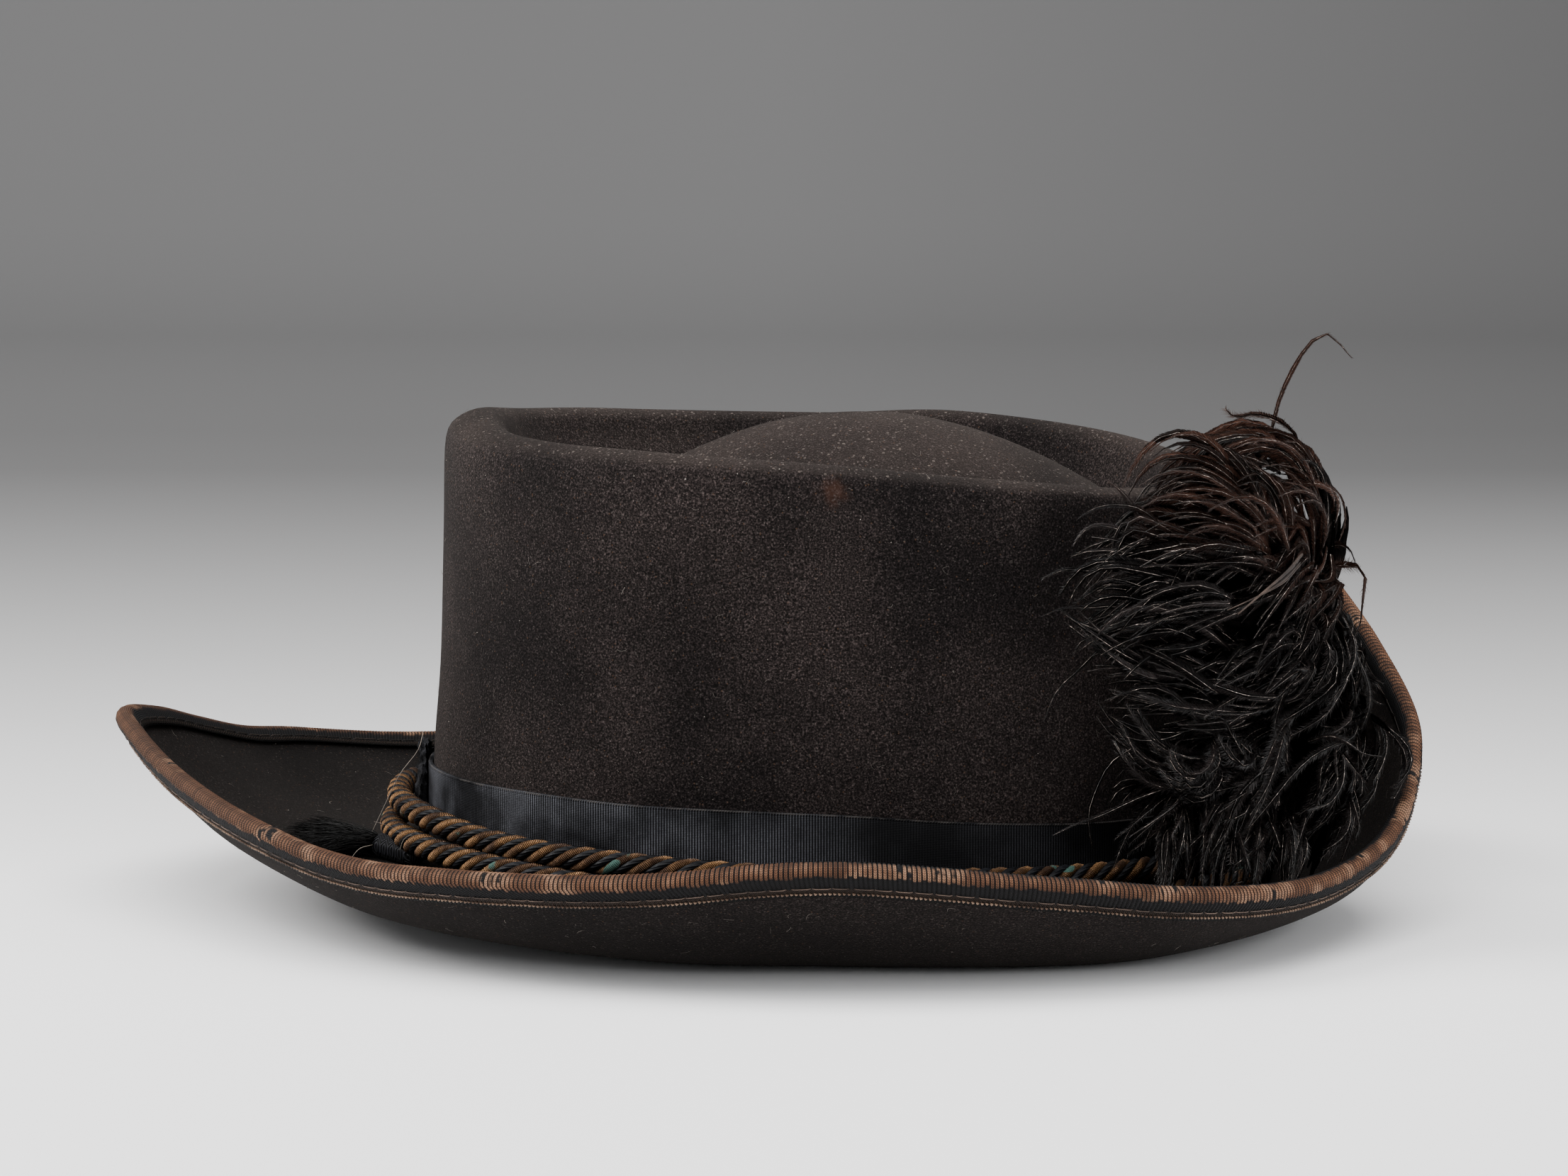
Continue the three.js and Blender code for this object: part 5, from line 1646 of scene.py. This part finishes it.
def vaneMaterial():
    made, tree, shader = newMaterial("ostrich_vane", 0.36, 0.04)
    across, along = weaveMarks(tree)
    colour = useGroup(tree, feather, {"Barb": randomFor(along)})[0]
    # barbules run forward from the shaft to the edge, close at their roots and parted at their tips
    out = abs(across)
    inputs = {"W": (along * 46.0 - out * 2.4) * 1.5, "Scale": 1.0, "Detail": 1.0}
    fine = addNode(tree, "ShaderNodeTexNoise", inputs, "Fac", noise_dimensions="1D")
    # painted shade darkens the gaps between the barbules
    paint(shader, blendColour(ramp(fine, 0.62, 0.4) * 0.85, colour, plumeSettings["gap"]))
    # closed blades above, open combs below
    closed = ramp(axisParts(objectPlace(tree))[2], 0.045, 0.062) * 0.32
    gate = ramp(out - closed, 0.28, 0.95) * 0.36 + 0.22
    feed(shader["Alpha"], ramp(fine - gate, 0.0, 0.05))
    addBump(shader, fine, 0.0005, 0.9)
    return made


def barbuleMaterial():
    made, tree, shader = newMaterial("ostrich_black", 0.36, 0.34)
    barb, outer = weaveMarks(tree)
    colour = useGroup(tree, feather, {"Barb": randomFor(barb)})[0]
    paint(shader, blendColour(outer * 0.35, colour, plumeSettings["tip"]))
    return made


# loose threads at the front, by their points and radius
looseThreads = [
    ([(-105, -2, 41), (-106, -8, 37), (-110, -14, 32), (-113, -18, 26), (-117, -23, 17.5)], 0.09),
    ([(-116, -30, 16), (-119, -33, 15.5), (-121, -33, 13), (-120.5, -34, 11.5)], 0.1),
    ([(-108, -38, 20), (-111, -38, 22), (-115, -37, 23)], 0.07),
    ([(-104, -40, 21), (-107, -43, 19.5), (-108, -45, 17)], 0.07),
]


def makeThreads():
    material = threadMaterial("pale_thread", rgb(84, 76, 70), rgb(132, 122, 112))
    tubes = [tubeParts(smoothPath(points, 14), radius, 5) for points, radius in looseThreads]
    tubePiece("loose_threads", tubes, material, "cord")


lintSettings = {
    "fibres": 760,
    "fibreRadius": (0.014, 0.03),
    "fibreLength": (0.6, 2.6),
    "fibreBend": 0.6,
    "fibreLift": (0.05, 0.5),
    "above": (0.12, 0.08),  # how far fibres and specks lie above the felt
    "large": 1.5,
    "largeShare": (0.05, 0.06),  # of the fibres and of the specks
    "specks": 420,
    "speckSize": (0.06, 0.15),
    "colours": (rgb(92, 86, 80), rgb(156, 148, 140)),
}


def makeLint(felt):
    look = lintSettings
    rng = np.random.default_rng(21)
    polygons = felt.data.polygons
    areas = np.zeros(len(polygons))
    polygons.foreach_get("area", areas)
    normals = readVectors(polygons, "normal")
    local = (readVectors(polygons, "center") - crownAxis) / mm
    radius = np.hypot(local[:, 0], local[:, 1])
    # nothing inside the head opening or under the foot of the brim
    outside = (np.einsum("ij,ij->i", normals[:, :2], local[:, :2]) > 0) | (local[:, 2] > 60)
    openAir = (outside | (radius > 120)) & (local[:, 2] > 3)
    chance = areas * openAir
    chance = chance / chance.sum()

    def largeOr(share):
        return look["large"] if rng.random() < share else 1

    tubes = []
    t = np.linspace(0, 1, 5)
    for k in rng.choice(len(areas), look["fibres"], p=chance):
        normal = normals[k]
        across = unit(np.cross(normal, rng.normal(0, 1, 3)))
        side = np.cross(normal, across)
        run = rng.uniform(*look["fibreLength"]) * largeOr(look["largeShare"][0])
        bend = rng.normal(0, look["fibreBend"])
        path = (local[k] + normal * look["above"][0] + across * ((t - 0.5) * run)[:, None]
                + side * (bend * run * (t - 0.5) ** 2 * 2)[:, None]
                + normal * (rng.uniform(*look["fibreLift"]) * t**2)[:, None])
        tubes.append(tubeParts(path, rng.uniform(*look["fibreRadius"]), 3))
    for k in rng.choice(len(areas), look["specks"], p=chance):
        across = unit(np.cross(normals[k], rng.normal(0, 1, 3)))
        size = rng.uniform(*look["speckSize"]) * largeOr(look["largeShare"][1])
        middle = local[k] + normals[k] * look["above"][1]
        path = middle + across * np.array([-1, 0, 1])[:, None] * size
        tubes.append(tubeParts(path, np.array([0.3, 1, 0.3]) * size, 4))
    piece = tubePiece("felt_lint", tubes, threadMaterial("lint", *look["colours"]), "felt")
    print("lint:", len(piece.data.polygons), "faces")


def floorMaterial():
    made, tree, shader = newMaterial("pale_floor", 0.75, 0.2)
    x, depth, _ = axisParts(objectPlace(tree))
    # painted fall-off of light: the floor darkens evenly with its distance; the backdrop, further
    # from the lights, is painted paler
    reach = ramp(depth, 0.0, 1.34, False)
    paintedLightFalloff = (reach * (2.94 - reach * 0.88) * -1.0).math("EXPONENT")
    paintedLightFalloff = paintedLightFalloff * (ramp(depth, 1.6, 3.0, False) * 0.5 + 1.0)
    # and the painted light falls away to the right
    paintedLightFalloff = paintedLightFalloff * (1.0 - ramp(x, 0.0, 1.1, False) * (ramp(depth, 0.7, 1.4) * 0.42))
    parts = {k: paintedLightFalloff * share for k, share in enumerate(stageSettings["tint"])}
    paint(shader, addNode(tree, "ShaderNodeCombineColor", parts))
    return made


def makeStage():
    look = stageSettings
    half, bend = look["size"] / 2, look["bend"]
    profile = [(-half, 0)]
    for turn in np.arange(13) / 12 * math.pi / 2:
        profile.append((look["back"] + bend * math.sin(turn), bend * (1 - math.cos(turn))))
    profile.append((look["back"] + bend, look["height"]))
    points = [(x * half, y, z) for x in (-1, 1) for y, z in profile]
    count = len(profile)
    faces = [(k, k + count, k + count + 1, k + 1) for k in range(count - 1)]
    mesh = bpy.data.meshes.new("floor")
    mesh.from_pydata(points, [], faces)
    mesh.shade_smooth()
    mesh.materials.append(floorMaterial())
    floor = bpy.data.objects.new("floor", mesh)
    bpy.context.scene.collection.objects.link(floor)


makeCamera()
makeLights()
makeStage()
felt = makeFelt()
makeBinding()
makeBand()
makeCords()
makeBow()
makeTassel()
makePlume()
makeThreads()
makeLint(felt)

counts = [
    (len(item.data.loops) - 2 * len(item.data.polygons), item.name)
    for item in bpy.context.scene.objects
    if item.type == "MESH" and item.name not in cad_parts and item.name != "floor"
]
print("additions:", sum(count for count, _ in counts), "triangles; the most in", max(counts))
